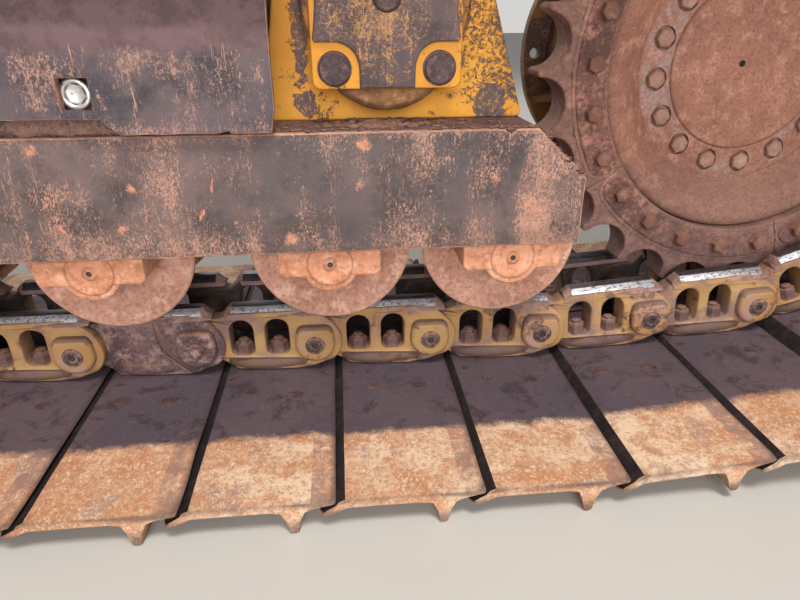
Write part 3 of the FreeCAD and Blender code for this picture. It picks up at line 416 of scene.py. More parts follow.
def dusty_plate(name, steel, middle, dust, share=0.5, blots=0.0, top=(0.20, 0.115, 0.115), bands=(),
                grains=(330, 330, 190), clouds=(), spots=(), shoulder=None):
    # Dark worn plate under fine speckles of salmon dust, which cluster in upright runs.
    s = Shader(name, steel)
    broad, patches, grain = s.noise(3.0, 5), s.noise(13, 6, 0.7), s.noise(420, 6, 0.75)
    runs, speckle = s.noise((24, 24, 3.4), 6, 0.65, 0.4), s.noise(grains, 8, 0.85, 0.8)
    strokes, scratches = s.noise((380, 380, 26), 5, 0.7), s.noise((22, 22, 420), 4, 0.7)
    s.coat(middle, s.limits(broad, 0.36, 0.62))
    s.coat(toned(steel, 0.68), s.limits(s.noise(9, 6, 0.7), 0.44, 0.64))
    s.coat(middle, s.limits(scratches, 0.58, 0.66), 0.4)
    weight = s.plus(s.times(runs, 0.20), (speckle, 0.64), (patches, 0.16),
                    *((s.limits(s.z, high, low), 0.035) for low, high in bands),
                    *((s.near(*cloud), amount) for *cloud, amount in clouds))
    dusted = s.limits(weight, 0.565 - 0.08 * share, 0.60 - 0.08 * share)
    s.coat(s.mix(s.limits(patches, 0.42, 0.60), toned(dust, 0.72), dust), dusted, 0.85)
    marks = s.times(s.limits(strokes, 0.58, 0.63), s.limits(runs, 0.46, 0.60))
    s.coat(toned(dust, 1.1), marks, 0.8)
    if blots:
        lumps = s.noise((19, 19, 13), 8, 0.75, 0.8)
        s.coat((0.66, 0.26, 0.14), s.limits(lumps, 0.685 - 0.05 * blots, 0.705 - 0.05 * blots), 0.85)
    for spot in spots:
        crust = s.mix(s.limits(speckle, 0.44, 0.58), (0.50, 0.20, 0.12), (0.80, 0.38, 0.23))
        s.coat(crust, s.near(*spot), 0.8)
    if shoulder:
        # Caked mauve dirt over the sheet's bend, thin in places.
        low, high, caked = shoulder
        above = s.plus(s.limits(s.z, low, high), (s.limits(runs, 0.60, 0.42), 0.3))
        caked = s.mix(s.limits(patches, 0.42, 0.60), caked, toned(caked, 0.62))
        s.coat(caked, s.limits(above, 0.25, 0.75), 0.88)
    lying = s.limits(s.plus(s.up, (s.noise(15, 7, 0.72), 0.5)), 0.36, 0.50)
    s.coat(s.mix(s.limits(s.noise(28, 7, 0.75), 0.44, 0.60), top, toned(top, 0.6)), lying, 0.93)
    return s.finish((0.55, 0.95), dusted, ((grain, 0.35), (speckle, 1.0), (broad, 3.0)), specular=0.25)


def rust(name, base, light, dark, grain_size=120, lump=1.2, dusty=0.5, specks=0.3, dusty_ring=None,
         shaded=None):
    # Even rust with darker stains, granular light specks and dust on its upper sides. Where shaded is given,
    # painted shade darkens it towards the bottom.
    s = Shader(name, base)
    grain, middle = s.noise(grain_size, 8, 0.75), s.noise(34, 7, 0.7)
    grainy = s.limits(grain, 0.42, 0.60)
    s.coat(dark, s.limits(s.noise(5.5, 6, 0.62), 0.36, 0.62))
    s.coat(light, s.limits(middle, 0.47, 0.66))
    s.coat(toned(dark, 0.55), s.limits(grain, 0.50, 0.40), 0.55)
    s.coat(light, s.limits(grain, 0.55, 0.66), 0.6)
    s.coat(toned(light, 1.6), s.limits(s.noise(230, 5, 0.8), 0.63, 0.69), specks)
    s.coat(toned(dark, 0.4), s.crevices(), 0.8)
    s.coat((0.36, 0.19, 0.125), s.limits(s.up, 0.3, 0.85), dusty)
    if shaded:
        # Painted shade: darker and mauve below the given heights.
        low, high, shade = shaded
        s.coat(s.mix(grainy, toned(shade, 0.7), shade), s.limits(s.z, high, low), 0.65)
    if dusty_ring:
        axis, inner, outer, side = dusty_ring
        drift = s.plus(s.noise(21, 7, 0.75), (s.near(*side), 0.10))
        drift = s.times(s.limits(drift, 0.50, 0.62), s.ring(axis, inner, outer, 9))
        s.coat(s.mix(grainy, (0.30, 0.20, 0.185), (0.47, 0.34, 0.30)), drift, 0.75)
    s.coat(light, s.edges(), 0.45)
    return s.finish((0.62, 0.97), middle, ((grain, 0.6 * lump), (middle, 1.8 * lump)), specular=0.25)


def worn_paint(name, paint, soil, share, grime, spatter=0.5, chips=(), worn_side=None, peppered=()):
    # Paint over dark steel, chipped in patches whose edges have rusted, with rust spatter.
    steel, rusty = (0.115, 0.085, 0.088), (0.30, 0.125, 0.06)
    s = Shader(name, paint)
    pits, grain = s.noise(70, 8, 0.8), s.noise(260, 6, 0.75)
    s.coat(tuple(c * f for c, f in zip(paint, (0.84, 0.76, 0.7))), s.limits(s.noise(4.0, 4), 0.35, 0.65))
    wear = [(s.near(*chip), 0.16) for chip in chips]
    wear += [(s.times(s.near(*spot), s.limits(s.noise(150, 8, 0.85), 0.49, 0.56)), 0.13) for spot in peppered]
    if worn_side:
        low, high, amount = worn_side
        wear.append((s.limits(s.x, low * MM, high * MM), amount))
    worn = s.plus(s.times(s.noise(7.0, 9, 0.7, 0.5), 0.68), (pits, 0.32), *wear)
    bare = s.limits(worn, share + 0.006, share + 0.022)
    s.coat(rusty, s.limits(worn, share - 0.016, share + 0.008))
    s.coat(steel, bare)
    s.coat((0.70, 0.36, 0.17), s.times(bare, s.limits(s.noise(210, 6, 0.8), 0.52, 0.60)), spatter + 0.3)
    s.coat(toned(steel, 0.8), s.limits(s.noise(150, 5, 0.8), 0.625, 0.66), spatter)
    s.coat(soil, s.limits(s.noise(13, 7, 0.72), 0.42, 0.66), grime)
    s.coat((0.085, 0.045, 0.035), s.crevices(), 0.85)
    s.coat(rusty, s.edges(0.53, 0.58), s.limits(pits, 0.42, 0.6))
    s.coat((0.24, 0.135, 0.10), s.times(s.limits(s.up, 0.45, 0.95), s.limits(s.noise(12, 4), 0.3, 0.6)), 0.75)
    return s.finish((0.45, 0.92), worn, ((bare, -0.8), (grain, 0.25), (pits, 0.6)), specular=0.35)


def polished_rail(name, dull_steel, bright_steel, rough, pitted):
    # Steel kept polished by the rollers, scratched lengthways, dull in its pits. Its base colour also
    # paints the light: dark as painted shade on the rail's top, bright as a painted highlight on the outer
    # bevel.
    s = Shader(name, dull_steel)
    scratches, pits = s.noise((16, 300, 300), 8, 0.75), s.noise((110, 190, 190), 8, 0.8)
    dull = s.limits(pits, 0.60 - 0.10 * pitted, 0.66 - 0.10 * pitted)
    s.coat(bright_steel, s.limits(scratches, 0.38, 0.62))
    s.coat((0.13, 0.095, 0.10), dull)
    return s.finish(rough, scratches, ((scratches, 0.12), (pits, 0.4)),
                    s.maths("SUBTRACT", 1.0, s.times(dull, 0.85)))


def shoe_steel(name, haze=None):
    # Dark mauve-brown in the middle as painted shadow, cream and orange with rust towards the shoe's ends as in
    # sunlight, split along a sharp ragged line. The top along the turned-down rear edge gets a darker brown
    # haze of its own.
    s = Shader(name, (0.086, 0.066, 0.082))
    outward = s.plus(s.maths("ABSOLUTE", s.y, 0.0), (s.noise(26, 7, 0.75), 0.05))
    broad, middle, speckle = s.noise(4.2, 7, 0.68), s.noise(17, 8, 0.72, 0.5), s.noise(105, 8, 0.8)
    curls, grain = s.noise((150, 100, 150), 8, 0.78, 1.8), s.noise(330, 6, 0.75)
    s.coat((0.118, 0.080, 0.090), s.limits(broad, 0.38, 0.60))
    s.coat((0.055, 0.040, 0.050), s.limits(middle, 0.52, 0.62))
    s.coat((0.175, 0.115, 0.12), s.limits(speckle, 0.53, 0.62), 0.5)
    s.coat((0.042, 0.032, 0.040), s.limits(curls, 0.44, 0.38), 0.6)
    inner, s.colour = s.colour, (0.78, 0.56, 0.38)
    s.coat((0.60, 0.31, 0.17), s.limits(broad, 0.42, 0.56))
    s.coat((0.54, 0.23, 0.10), s.limits(middle, 0.46, 0.58), 0.85)
    s.coat((0.40, 0.24, 0.19), s.limits(s.noise(11, 7, 0.7), 0.56, 0.64), 0.8)
    s.coat((0.84, 0.66, 0.47), s.limits(curls, 0.51, 0.58), 0.8)
    s.coat((0.38, 0.20, 0.13), s.limits(speckle, 0.50, 0.43), 0.65)
    if haze:
        s.coat(haze, s.limits(s.noise(30, 7, 0.75), 0.64, 0.42), 0.85)
    # The painted shadow's edge: the mauve middle gives way to the sunlit-looking ends.
    s.colour = s.mix(s.limits(outward, 0.324, 0.345), inner, s.colour)
    s.coat((0.60, 0.38, 0.24), s.edges(0.52, 0.57), 0.5)
    s.coat((0.07, 0.042, 0.038), s.crevices(), 0.7)
    s.coat((0.22, 0.14, 0.11), s.limits(s.up, -0.2, -0.6), 0.5)
    return s.finish((0.55, 0.95), speckle, ((grain, 0.3), (speckle, 0.9), (middle, 1.4)), specular=0.3)


def plated(name):
    s = Shader(name, (0.80, 0.80, 0.78))
    marks = s.noise(240, 6, 0.7)
    s.coat((0.58, 0.56, 0.53), s.limits(marks, 0.4, 0.7))
    s.coat((0.36, 0.16, 0.10), s.limits(s.noise(110, 4), 0.60, 0.68))
    return s.finish((0.24, 0.5), marks, ((marks, 0.15),), 0.75)


def plain(name, colour, roughness):
    s = Shader(name, colour)
    s.coat(toned(colour, 0.96), s.limits(s.noise(2.0, 4), 0.3, 0.7))
    return s.finish((roughness, roughness + 0.05), s.noise(8.0, 3))


# Clouds are a place, radius, stretch and weight of thicker dust, spots the place and radius
# of orange crusts, and chips the place, radius and stretch of bare patches.
GUARD_STEEL = dusty_plate(
    "dark_plate", (0.098, 0.078, 0.078), (0.165, 0.115, 0.108), (0.60, 0.32, 0.225), 0.40, 0.5,
    bands=((0.34, 0.40), (0.53, 0.49)),
    clouds=(((-1268, 217, 400), 52, (1, 0.3, 0.42), 0.042), ((-690, 217, 430), 30, (1, 0.3, 0.4), 0.010),
            ((-560, 217, 400), 34, (0.8, 0.3, 0.5), 0.02), ((-1060, 217, 470), 30, (0.5, 0.3, 1), 0.02)),
    spots=(((-985, 220, 500), 9), ((-650, 220, 443), 5), ((-625, 220, 382), 6), ((-870, 220, 362), 8),
           ((-1186, 220, 446), 7), ((-979, 220, 441), 4), ((-526, 220, 500), 6), ((-795, 220, 388), 4)))
FRAME_STEEL = dusty_plate(
    "frame_plate", (0.085, 0.064, 0.064), (0.15, 0.095, 0.088), (0.40, 0.22, 0.165), 0.3,
    clouds=(((-600, 190, 530), 40, (0.35, 0.3, 2), 0.08),))
COVER_STEEL = dusty_plate(
    "cover_plate", (0.083, 0.073, 0.086), (0.150, 0.108, 0.112), (0.56, 0.31, 0.225), 0.38, 0.1,
    top=(0.125, 0.072, 0.074), bands=((0.525, 0.545),), shoulder=(0.614, 0.652, (0.185, 0.108, 0.112)),
    clouds=(((-560, 217, 600), 30, (1, 0.3, 0.6), 0.04), ((-720, 217, 612), 26, (0.5, 0.3, 1.4), 0.035),
            ((-849, 217, 575), 8, (1, 0.3, 0.12), 0.05)))
PANEL_STEEL = dusty_plate(
    "cap_panel", (0.125, 0.088, 0.092), (0.19, 0.13, 0.12), (0.80, 0.42, 0.17), 0.26,
    grains=(260, 260, 260), top=(0.30, 0.18, 0.12),
    clouds=(((-1010, 180, 668), 66, (0.8, 0.2, 1.2), 0.036), ((-1000, 180, 664), 34, (0.7, 0.2, 1.3), 0.026),
            ((-1024, 180, 600), 26, (0.6, 0.2, 1.2), 0.03)))
EDGE_RUST = rust("edge_rust", (0.46, 0.245, 0.175), (0.62, 0.36, 0.25), (0.30, 0.15, 0.11), 140)
MUD = rust("caked_mud", (0.27, 0.135, 0.105), (0.38, 0.20, 0.15), (0.17, 0.085, 0.07), 90, 3.0)
ROLLER_DUST = rust("roller_dust", (0.61, 0.325, 0.235), (0.75, 0.45, 0.33), (0.45, 0.22, 0.155), 130, 0.8,
                   specks=0.1)
BLOCK_DUST = rust("block_dust", (0.74, 0.345, 0.20), (0.80, 0.43, 0.28), (0.55, 0.225, 0.12), 70, 2.6,
                  specks=0.1)
SPROCKET_RUST = rust("sprocket_rust", (0.30, 0.150, 0.112), (0.45, 0.245, 0.180), (0.20, 0.105, 0.086), 150,
                     shaded=(0.24, 0.46, (0.225, 0.135, 0.122)))
DISC_RUST = rust("disc_rust", (0.43, 0.20, 0.132), (0.56, 0.29, 0.20), (0.32, 0.145, 0.10), 170, 0.9,
                 specks=0.9, shaded=(0.26, 0.50, (0.25, 0.15, 0.13)),
                 dusty_ring=(sprocket, 158, 208, ((-1540, -26, 575), 70, (1, 1, 0.6))))
PAD_RUST = rust("pad_rust", (0.25, 0.116, 0.090), (0.50, 0.245, 0.18), (0.135, 0.066, 0.056), 150, 2.6,
                specks=0.5, shaded=(0.24, 0.42, (0.21, 0.125, 0.112)))
BOLT_RUST = rust("bolt_rust", (0.50, 0.25, 0.18), (0.68, 0.40, 0.31), (0.33, 0.15, 0.11), lump=1.4)
PALE_BOLT = rust("pale_bolt", (0.74, 0.45, 0.34), (0.84, 0.60, 0.48), (0.58, 0.31, 0.22), lump=1.4)
LINK_GRIME = rust("link_grime", (0.225, 0.135, 0.128), (0.46, 0.29, 0.25), (0.105, 0.064, 0.064), 150, 3.2,
                  specks=1.0)
NUT_DUST = rust("nut_dust", (0.36, 0.20, 0.18), (0.50, 0.31, 0.27), (0.23, 0.125, 0.115), 130, 1.4)
# Near black: painted shade in holes, between the links and on their inner sides.
LINK_SHADE = rust("link_shade", (0.045, 0.033, 0.030), (0.085, 0.06, 0.05), (0.035, 0.026, 0.024), 90, 2.0, 0.2)
HEAD_STEEL = rust("head_steel", (0.15, 0.098, 0.098), (0.32, 0.20, 0.18), (0.085, 0.055, 0.058), 160, 1.4,
                  specks=0.7)
CASTING_RUST = rust("casting_rust", (0.42, 0.215, 0.085), (0.56, 0.30, 0.13), (0.26, 0.125, 0.065), 100, 1.6)
# Near black: painted shade, with grease, on the lips under the next shoe and on the rear edges.
LIP_SHADE_AND_GREASE = rust("shoe_lip", (0.020, 0.013, 0.014), (0.040, 0.026, 0.026), (0.012, 0.008, 0.009), dusty=0.0,
           specks=0.0)
STAIN = rust("shoe_stain", (0.085, 0.05, 0.052), (0.16, 0.09, 0.085), (0.06, 0.036, 0.038), 140, 0.8, 0.0, 0.0)
LINK_PAINT = worn_paint("link_paint", (0.48, 0.285, 0.115), (0.27, 0.165, 0.138), 0.56, 1.15)
BOSS_PAINT = worn_paint("boss_paint", (0.46, 0.275, 0.11), (0.40, 0.235, 0.185), 0.545, 1.6, 0.6)
# The link's foot: paint darkened as painted shade under the link, with pink soil; also on the pad's upper
# flank.
FOOT_SOIL_AND_SHADE = worn_paint("foot_soil_and_shade", (0.25, 0.16, 0.10), (0.185, 0.12, 0.11), 0.54, 1.6, 0.3)
# The inner links' paint: darker than the outer links' as painted shade, with grime.
INNER_PAINT_SHADED = worn_paint("inner_paint_shaded", (0.33, 0.20, 0.065), (0.17, 0.105, 0.08), 0.53, 0.9)
YELLOW = worn_paint("yellow_paint", (0.92, 0.43, 0.055), (0.42, 0.20, 0.06), 0.565, 0.25)
CHIPPED = worn_paint("chipped_paint", (0.74, 0.41, 0.075), (0.34, 0.18, 0.12), 0.485, 0.35, 0.8)
# Yellow darkened as painted shade on the flange seen behind the sprocket, with dark soil.
HOUSING_SHADED = worn_paint("housing_paint_shaded", (0.34, 0.195, 0.05), (0.10, 0.06, 0.045), 0.50, 0.85)
SADDLE_PAINT = worn_paint(
    "saddle_paint", (0.92, 0.43, 0.058), (0.42, 0.20, 0.06), 0.57, 0.22, worn_side=(-1170, -1245, 0.07),
    chips=(((-902, 107, 545), 19, (1, 0.2, 1)), ((-1196, 107, 541), 26, (1, 0.2, 0.8)),
           ((-1176, 107, 604), 5, (1.2, 0.2, 0.8)), ((-899, 125, 665), 11, (1, 0.2, 0.11)),
           ((-879, 107, 632), 2, (1, 0.2, 1)), ((-1145, 107, 660), 6, (1, 0.2, 0.1))),
    peppered=(((-1200, 107, 640), 40, (0.7, 0.2, 0.33)), ((-905, 107, 690), 24, (1, 0.2, 0.3))))
# The rail's top in painted shade, and its outer bevel in a lit copy with a painted highlight.
SHADED_RAIL = polished_rail("polished_rail", (0.070, 0.065, 0.070), (0.17, 0.165, 0.175), (0.42, 0.62), 0.8)
LIT_RAIL_EDGE = polished_rail("lit_rail_edge", (0.42, 0.43, 0.46), (0.76, 0.77, 0.81), (0.48, 0.66), 0.9)
SHOE_SUN_AND_SHADE = shoe_steel("shoe_steel")
SHOE_EDGE_SUN_AND_SHADE = shoe_steel("shoe_edge_sun_and_shade", (0.31, 0.18, 0.145))
PLATED = plated("plated_steel")


# Chain. Finishes are numbers in LINK_MATERIALS.

RAIL_TOP, RAIL_FLOOR = 72, 51
RAIL_LOW, RAIL_HIGH = -12, 152
RAIL_Y = (55, 99)
RAIL_CHAMFER = 12
BOSS_RADIUS, BOSS_FACE = 50, 109
PAD_FACE, PIN_FACE = 121, 125
FRONT_EYE_RADIUS = 45
FOOT = -58
WINDOWS = ((48, 92), (113, 157))
WINDOW_LOW, WINDOW_TOP = -24, 49
LINK_MATERIALS = [LINK_PAINT, SHADED_RAIL, LINK_GRIME, LINK_SHADE, LIT_RAIL_EDGE, NUT_DUST, FOOT_SOIL_AND_SHADE, BOSS_PAINT]
PAINTED, SHADED_POLISH, GRIMY, IN_SHADE, LIT_POLISH, NUT, SOIL_AND_SHADE, BOSS = range(8)


def link_plate_outline():
    # Round rear boss, rail line, round front eye and the foot.
    return (circle(BOSS_RADIUS, 12, (0, 0), 250, 118)
            + [(-6, 58), (10, 62), (RAIL_HIGH + 2, 62), (176, 46)]
            + circle(FRONT_EYE_RADIUS, 9, (PITCH, 0), 100, -100)
            + [(188, -46), (168, -54), (150, FOOT), (96, FOOT), (40, FOOT), (4, FOOT + 3)])


def window_outline(left, right):
    # Flat floor with rounded corners under a round arch.
    half = (right - left) / 2
    floor = [(left, WINDOW_LOW + 10), (left + 3, WINDOW_LOW + 3), (left + 10, WINDOW_LOW)]
    return (floor + [(left + right - x, z) for x, z in floor[::-1]]
            + circle(half, 11, (left + half, WINDOW_TOP - half), 0, 180))


def shaped_link(outlines):
    # The link's body steps inboard from the rear boss to the front eye, and leans in above
    # the boss and at the foot. The side that faces the chain's middle is painted near black as shade.
    y_low, thickness = 60, 40

    def fitted(x, y, z):
        outer = BOSS_FACE - 6 * eased(x, 30, 52) - 23 * eased(x, 152, 186)
        outer = outer - 11 * eased(z, 24, 50) * (1 - eased(x, 34, 64)) - 2 * eased(-z, 40, 56)
        outer = outer - 12 * eased(-z, 30, 55) * (eased(x, 128, 168) + 1 - eased(x, -14, 26))
        inner = 84 - 28 * eased(x, -8, 34) - 4 * eased(x, 150, 184)
        return x, inner + (outer - inner) * (y - y_low) / thickness, z

    flat = plate(outlines, y_low, y_low + thickness, 3.5)
    return flat.painted(lambda x, y, z: IN_SHADE if y < y_low + 5 else PAINTED).warped(fitted)


def foot_flange():
    # The rounded flange along the link's foot, drawn in at both ends.
    sections = []
    for x, reach in ((-4, 86), (6, 94), (24, 101), (50, 105), (85, 106.5), (120, 104.5), (142, 99), (158, 91),
                     (168, 82)):
        rise = 0 if 10 < x < 150 else 4
        sections.append([(x, reach - inset, z) for inset, z in (
            (26, -59), (26, -36), (7, -32 - rise), (3, -34 - rise), (0.5, -39 - rise * 0.5), (0, -44), (1, -50),
            (5, -55.5), (11, -59))])
    # Its paint is darkened as painted shade, with soil.
    return loft(sections).painted(SOIL_AND_SHADE)


def rail_bar():
    # The rail that the rollers run on, bevelled along both sides and sloped at its ends.
    y0, y1 = RAIL_Y
    c = RAIL_CHAMFER
    section = [(y0, RAIL_FLOOR), (y1 + 2, RAIL_FLOOR), (y1 + 1, RAIL_TOP - c - 3), (y1 - 1, RAIL_TOP - c),
               (y1 - c, RAIL_TOP - 1), (y1 - c - 3, RAIL_TOP), (y0 + c, RAIL_TOP), (y0, RAIL_TOP - c)]
    ends = ((RAIL_LOW - 18, 16), (RAIL_LOW - 5, 4), (RAIL_LOW, 0), (RAIL_HIGH - 2, 0), (RAIL_HIGH + 3, 3),
            (RAIL_HIGH + 12, 12))
    middle_y = (y0 + y1) / 2
    sections = [[(x, middle_y + (y - middle_y) * (1 - drop / 90),
                  RAIL_FLOOR + (z - RAIL_FLOOR) * (1 - drop / 22)) for y, z in section] for x, drop in ends]

    def finish(x, y, z):
        if x < RAIL_LOW - 1 or x > RAIL_HIGH or z < RAIL_TOP - c + 0.5:
            return GRIMY
        # The outer bevel takes the painted highlight, the rest of the top the painted shade.
        return LIT_POLISH if y1 - c < y < y1 and z < RAIL_TOP - 0.6 else SHADED_POLISH

    return loft(sections).painted(finish)


def boss_pad():
    # Raised pad, flat on top, with the pin's end in a shallow ring.
    outline = circle(37, 15, (0, 0), 180, 360) + rounded([(37, 2), (33, 35), (-33, 35), (-37, 2)], 25, 8)[8:24]
    pad = plate([outline], BOSS_FACE - 14, PAD_FACE, 9, 6)
    ring = lathe([(18.5, PAD_FACE - 1), (17.8, PAD_FACE + 0.8), (16.4, PAD_FACE + 0.8), (15.6, PAD_FACE + 0.1),
                  (14.8, PAD_FACE + 0.1), (14, PIN_FACE - 1.5), (12, PIN_FACE), (8, PIN_FACE),
                  (6.5, PIN_FACE - 1)], 24)
    # The pin's hole is painted near black as shade.
    hole = lathe([(6.5, PIN_FACE - 1), (6, PAD_FACE + 0.3), (0, PAD_FACE + 0.3)], 24)
    return joined([pad.painted(lambda x, y, z: SOIL_AND_SHADE if y < PAD_FACE - 0.6 and z > 22 else BOSS),
                   ring.roughened(1.0, 6).painted(GRIMY), hole.painted(IN_SHADE)])


def hex_bolt(radius, height, shank=0.0, shank_height=0.0):
    # A head on a washer, with the bolt's end through it where it is a nut.
    profile = [(radius * 1.12, 0), (radius * 1.12, height * 0.14), (radius * 1.0, height * 0.16),
               (radius, height * 0.80), (radius * 0.94, height * 0.93), (radius * 0.82, height)]
    if shank:
        profile += [(shank, height), (shank, height + shank_height * 0.8),
                    (shank * 0.75, height + shank_height)]
    return lathe(profile + [(0, profile[-1][1])], 6)


def shoe_nut(left, right):
    nut = hex_bolt(18, 30, 9.5, 7).stood_up().roughened(0.7, 9, left)
    return nut.moved((left + right) / 2, 83, WINDOW_LOW - 10).painted(NUT)


link_outline = link_plate_outline()
link_body = shaped_link([link_outline, *(window_outline(*window) for window in WINDOWS)])
nuts = [shoe_nut(*window) for window in WINDOWS]
link = joined([link_body, foot_flange(), rail_bar(), boss_pad(), *nuts])


# The master link's slanted joint: up from the foot, over the shoulder, then forward.
JOINT_LINE = [(12, -62), (27, -42), (65, -8), (71, 20), (74, 66)]


def split_outline(outline, side):
    # The part of the outline ahead of (1) or behind (-1) the master link's joint.
    places, heights = zip(*JOINT_LINE)

    def gap(z):
        # Half the joint's width, which dirt has closed above the shoulder.
        return 1.4 - 1.2 * eased(z, -12, 6)

    def reach(point):
        return side * (point[0] - np.interp(point[1], heights, places)) - gap(point[1])

    kept = []
    for point, following in zip(outline, outline[1:] + outline[:1]):
        here, there = reach(point), reach(following)
        if here >= 0:
            kept.append(point)
        if here * there < 0:
            crossing = np.array(point) + here / (here - there) * (np.array(following) - np.array(point))
            kept.append(tuple(crossing))
            if here >= 0:
                upward = crossing[1] < 0
                inside = [(x + side * gap(z), z) for x, z in JOINT_LINE[1:-1]]
                kept += inside if upward else inside[::-1]
    return kept


master_body = joined([shaped_link([split_outline(link_outline, side)]) for side in (-1, 1)] + [foot_flange()])
master = joined([master_body.painted(GRIMY).roughened(0.5, 12), rail_bar(), boss_pad().painted(GRIMY)])
all_links = range(len(pins))

plain_links = [index for index in all_links if index != MASTER_LINK]
make("outer_links_detail", on_links(link, plain_links), LINK_MATERIALS, "outer_links")
make("master_link_detail", on_links(master, [MASTER_LINK]), LINK_MATERIALS, "master_link")
make("inner_links_detail", on_links(link.mirrored(), all_links), [INNER_PAINT_SHADED] + LINK_MATERIALS[1:],
     "inner_links")

# Near black all over, as painted shade between the links.
bushing = lathe(two_sided([(20, -56), (30, -56), (33, -53), (33, -40), (32.2, -34)]), 24)
make("bushings_detail", on_links(bushing, all_links), [LINK_SHADE], "track_bushings")


# Shoes.

SHOE_HALF, SHOE_TOP = 457, -60
GROUSER_X, GROUSER_TIP, GROUSER_ROOT = 25, 6, 17
LIP_START, REAR_EDGE, EDGE_START = 168, -29, -10


def shoe_section():
    # From the front lip over the top to the rear edge, then back along the ground side.
    top, tip = SHOE_TOP, -PIN_HEIGHT
    return [(208, top - 26.5), (207, top - 24), (199, top - 19.5), (188, top - 13), (177, top - 6),
            (LIP_START, top - 1.6), (158, top - 0.2), (120, top), (60, top), (0, top), (-24, top - 0.2),
            (-31.5, top - 1.2), (-34, top - 3.5), (-32.5, top - 6), (-26, top - 10.5),
            (-4, top - 14), (GROUSER_X - GROUSER_ROOT, top - 19), (GROUSER_X - GROUSER_TIP - 4, tip + 22),
            (GROUSER_X - GROUSER_TIP, tip + 3), (GROUSER_X - 3, tip), (GROUSER_X + 4, tip),
            (GROUSER_X + GROUSER_TIP, tip + 3), (GROUSER_X + GROUSER_TIP + 4, tip + 22),
            (GROUSER_X + GROUSER_ROOT, top - 19), (60, top - 16), (120, top - 16), (LIP_START, top - 16.5),
            (186, top - 21.5), (200, top - 27)]


def shoe_finish(x, y, z):
    # 2, near black as painted shade with grease, where the next shoe covers it; 4 on the rear edge.
    in_painted_shade = z > SHOE_TOP - 24 and x > LIP_START or z < SHOE_TOP - 3 and x < REAR_EDGE
    if in_painted_shade and abs(y) < SHOE_HALF - 2:
        return 2
    return 4 if z > SHOE_TOP - 3 and x < EDGE_START else 0


def shoe(seed):
    # Its section carried along Y, with worn edges and rounded corners, kept above the ground.
    outline = np.array(shoe_section(), float)
    keen = np.array([1.0 if z < SHOE_TOP - 22 or x > 190 or x < -25 else 0.25 for x, z in outline])
    half = [0, 90, 180, 260, 330, 390, SHOE_HALF - 30, SHOE_HALF - 12, SHOE_HALF - 3, SHOE_HALF]
    sections = []
    for y in [-y for y in half[:0:-1]] + half:
        shifts = np.array([noise.noise_vector(Vector((x / 50, y / 45 + seed, z / 50)))[:2] for x, z in outline])
        shifts = shifts * keen[:, None] * 1.6
        shifts -= np.sign(outline - (85, SHOE_TOP - 8)) * max(0, abs(y) - SHOE_HALF + 4) / 4 * 1.5
        corner = max(0, abs(y) - SHOE_HALF + 30) / 30
        shifts[outline[:, 0] > 180, 0] -= 8 * corner ** 2
        worn = outline + shifts
        worn[:, 1] = np.maximum(worn[:, 1], 0.05 - PIN_HEIGHT)
        sections.append([(x, y, z) for x, z in worn])
    return loft(sections).painted(shoe_finish)


def stain(x, y, radius, seed):
    # A thin dark crust where a nut's rust has run.
    points = []
    for angle in np.arange(14) * 2 * math.pi / 14:
        reach = radius * (1 + 0.45 * noise.noise(Vector((2 * math.cos(angle), 2 * math.sin(angle), seed))))
        points.append((reach * 1.15 * math.cos(angle), reach * 0.85 * math.sin(angle)))
    return loft([[(x + a * scale, y + b * scale, SHOE_TOP + lift) for a, b in points]
                 for scale, lift in ((1.0, -0.5), (0.97, 0.25), (0.80, 0.6), (0.4, 0.75))])


def shoe_stains(seed):
    parts = []
    for side in (-1, 1):
        for x, y, radius in ((38, 184, 17), (118, 176, 14), (150, 128, 9)):
            shift = noise.noise_vector(Vector((seed * 1.7, x, side)))
            size = radius * (0.8 + 0.5 * abs(shift[2]))
            parts.append(stain(x + 14 * shift[0], side * (y + 12 * shift[1]), size, seed + x))
    return joined(parts).painted(3)


shoe_bolts = joined([
    hex_bolt(20, 14).mirrored().stood_up().moved((left + right) / 2, side * 80, SHOE_TOP - 16).painted(1)
    for left, right in WINDOWS for side in (-1, 1)])
shoes = joined([on_links(joined([shoe(index * 3.7), shoe_bolts, shoe_stains(index * 2.3)]), [index])
                for index in all_links])
make("shoes_detail", shoes, [SHOE_SUN_AND_SHADE, BOLT_RUST, LIP_SHADE_AND_GREASE, STAIN, SHOE_EDGE_SUN_AND_SHADE], "track_shoes")


# Track rollers and their shaft blocks.

BLOCK_WING, BLOCK_SHOULDER, BLOCK_BOSS = 82, -22, 47
BLOCK_INNER, SHAFT_FACE = 118.5, 207

roller = lathe(two_sided([(0, 112), (58, 112), (60, 110), (98, 110), (110, 111.5), (119, 115), (126, 117.5),
                          (135, 118), (138, 115), (138, 104), (135, 101.5), (124, 101), (122, 99)]), 56)
make("rollers_detail", joined([roller.moved(x, 0, roller_z) for x in roller_xs]), [ROLLER_DUST],
     "track_rollers", 30)


def shaft_block():
    # Wings with a round boss below, as far up as the frame's rail, and the shaft's end.
    wing = [(BLOCK_WING, frame_low[2] - roller_z), (BLOCK_WING, BLOCK_SHOULDER + 8),
            (BLOCK_WING - 8, BLOCK_SHOULDER)]
    outline = wing + circle(BLOCK_BOSS, 11, (0, 0), -28, -152) + [(-x, z) for x, z in wing[::-1]]
    body = plate([outline], BLOCK_INNER, frame_high[1], 4.0)
    ring = lathe([(38, 204), (37, 206), (35, 206.8), (32, 206.8), (29, 206), (12, 205.8), (11, 207.5),
                  (8.5, 208.5), (5, 208.5), (4.5, SHAFT_FACE)], 24)
    # The shaft's hole is painted near black as shade.
    hole = lathe([(4.5, SHAFT_FACE), (0, SHAFT_FACE)], 24)
    return joined([body.roughened(1.2, 14), ring, hole.painted(1)])


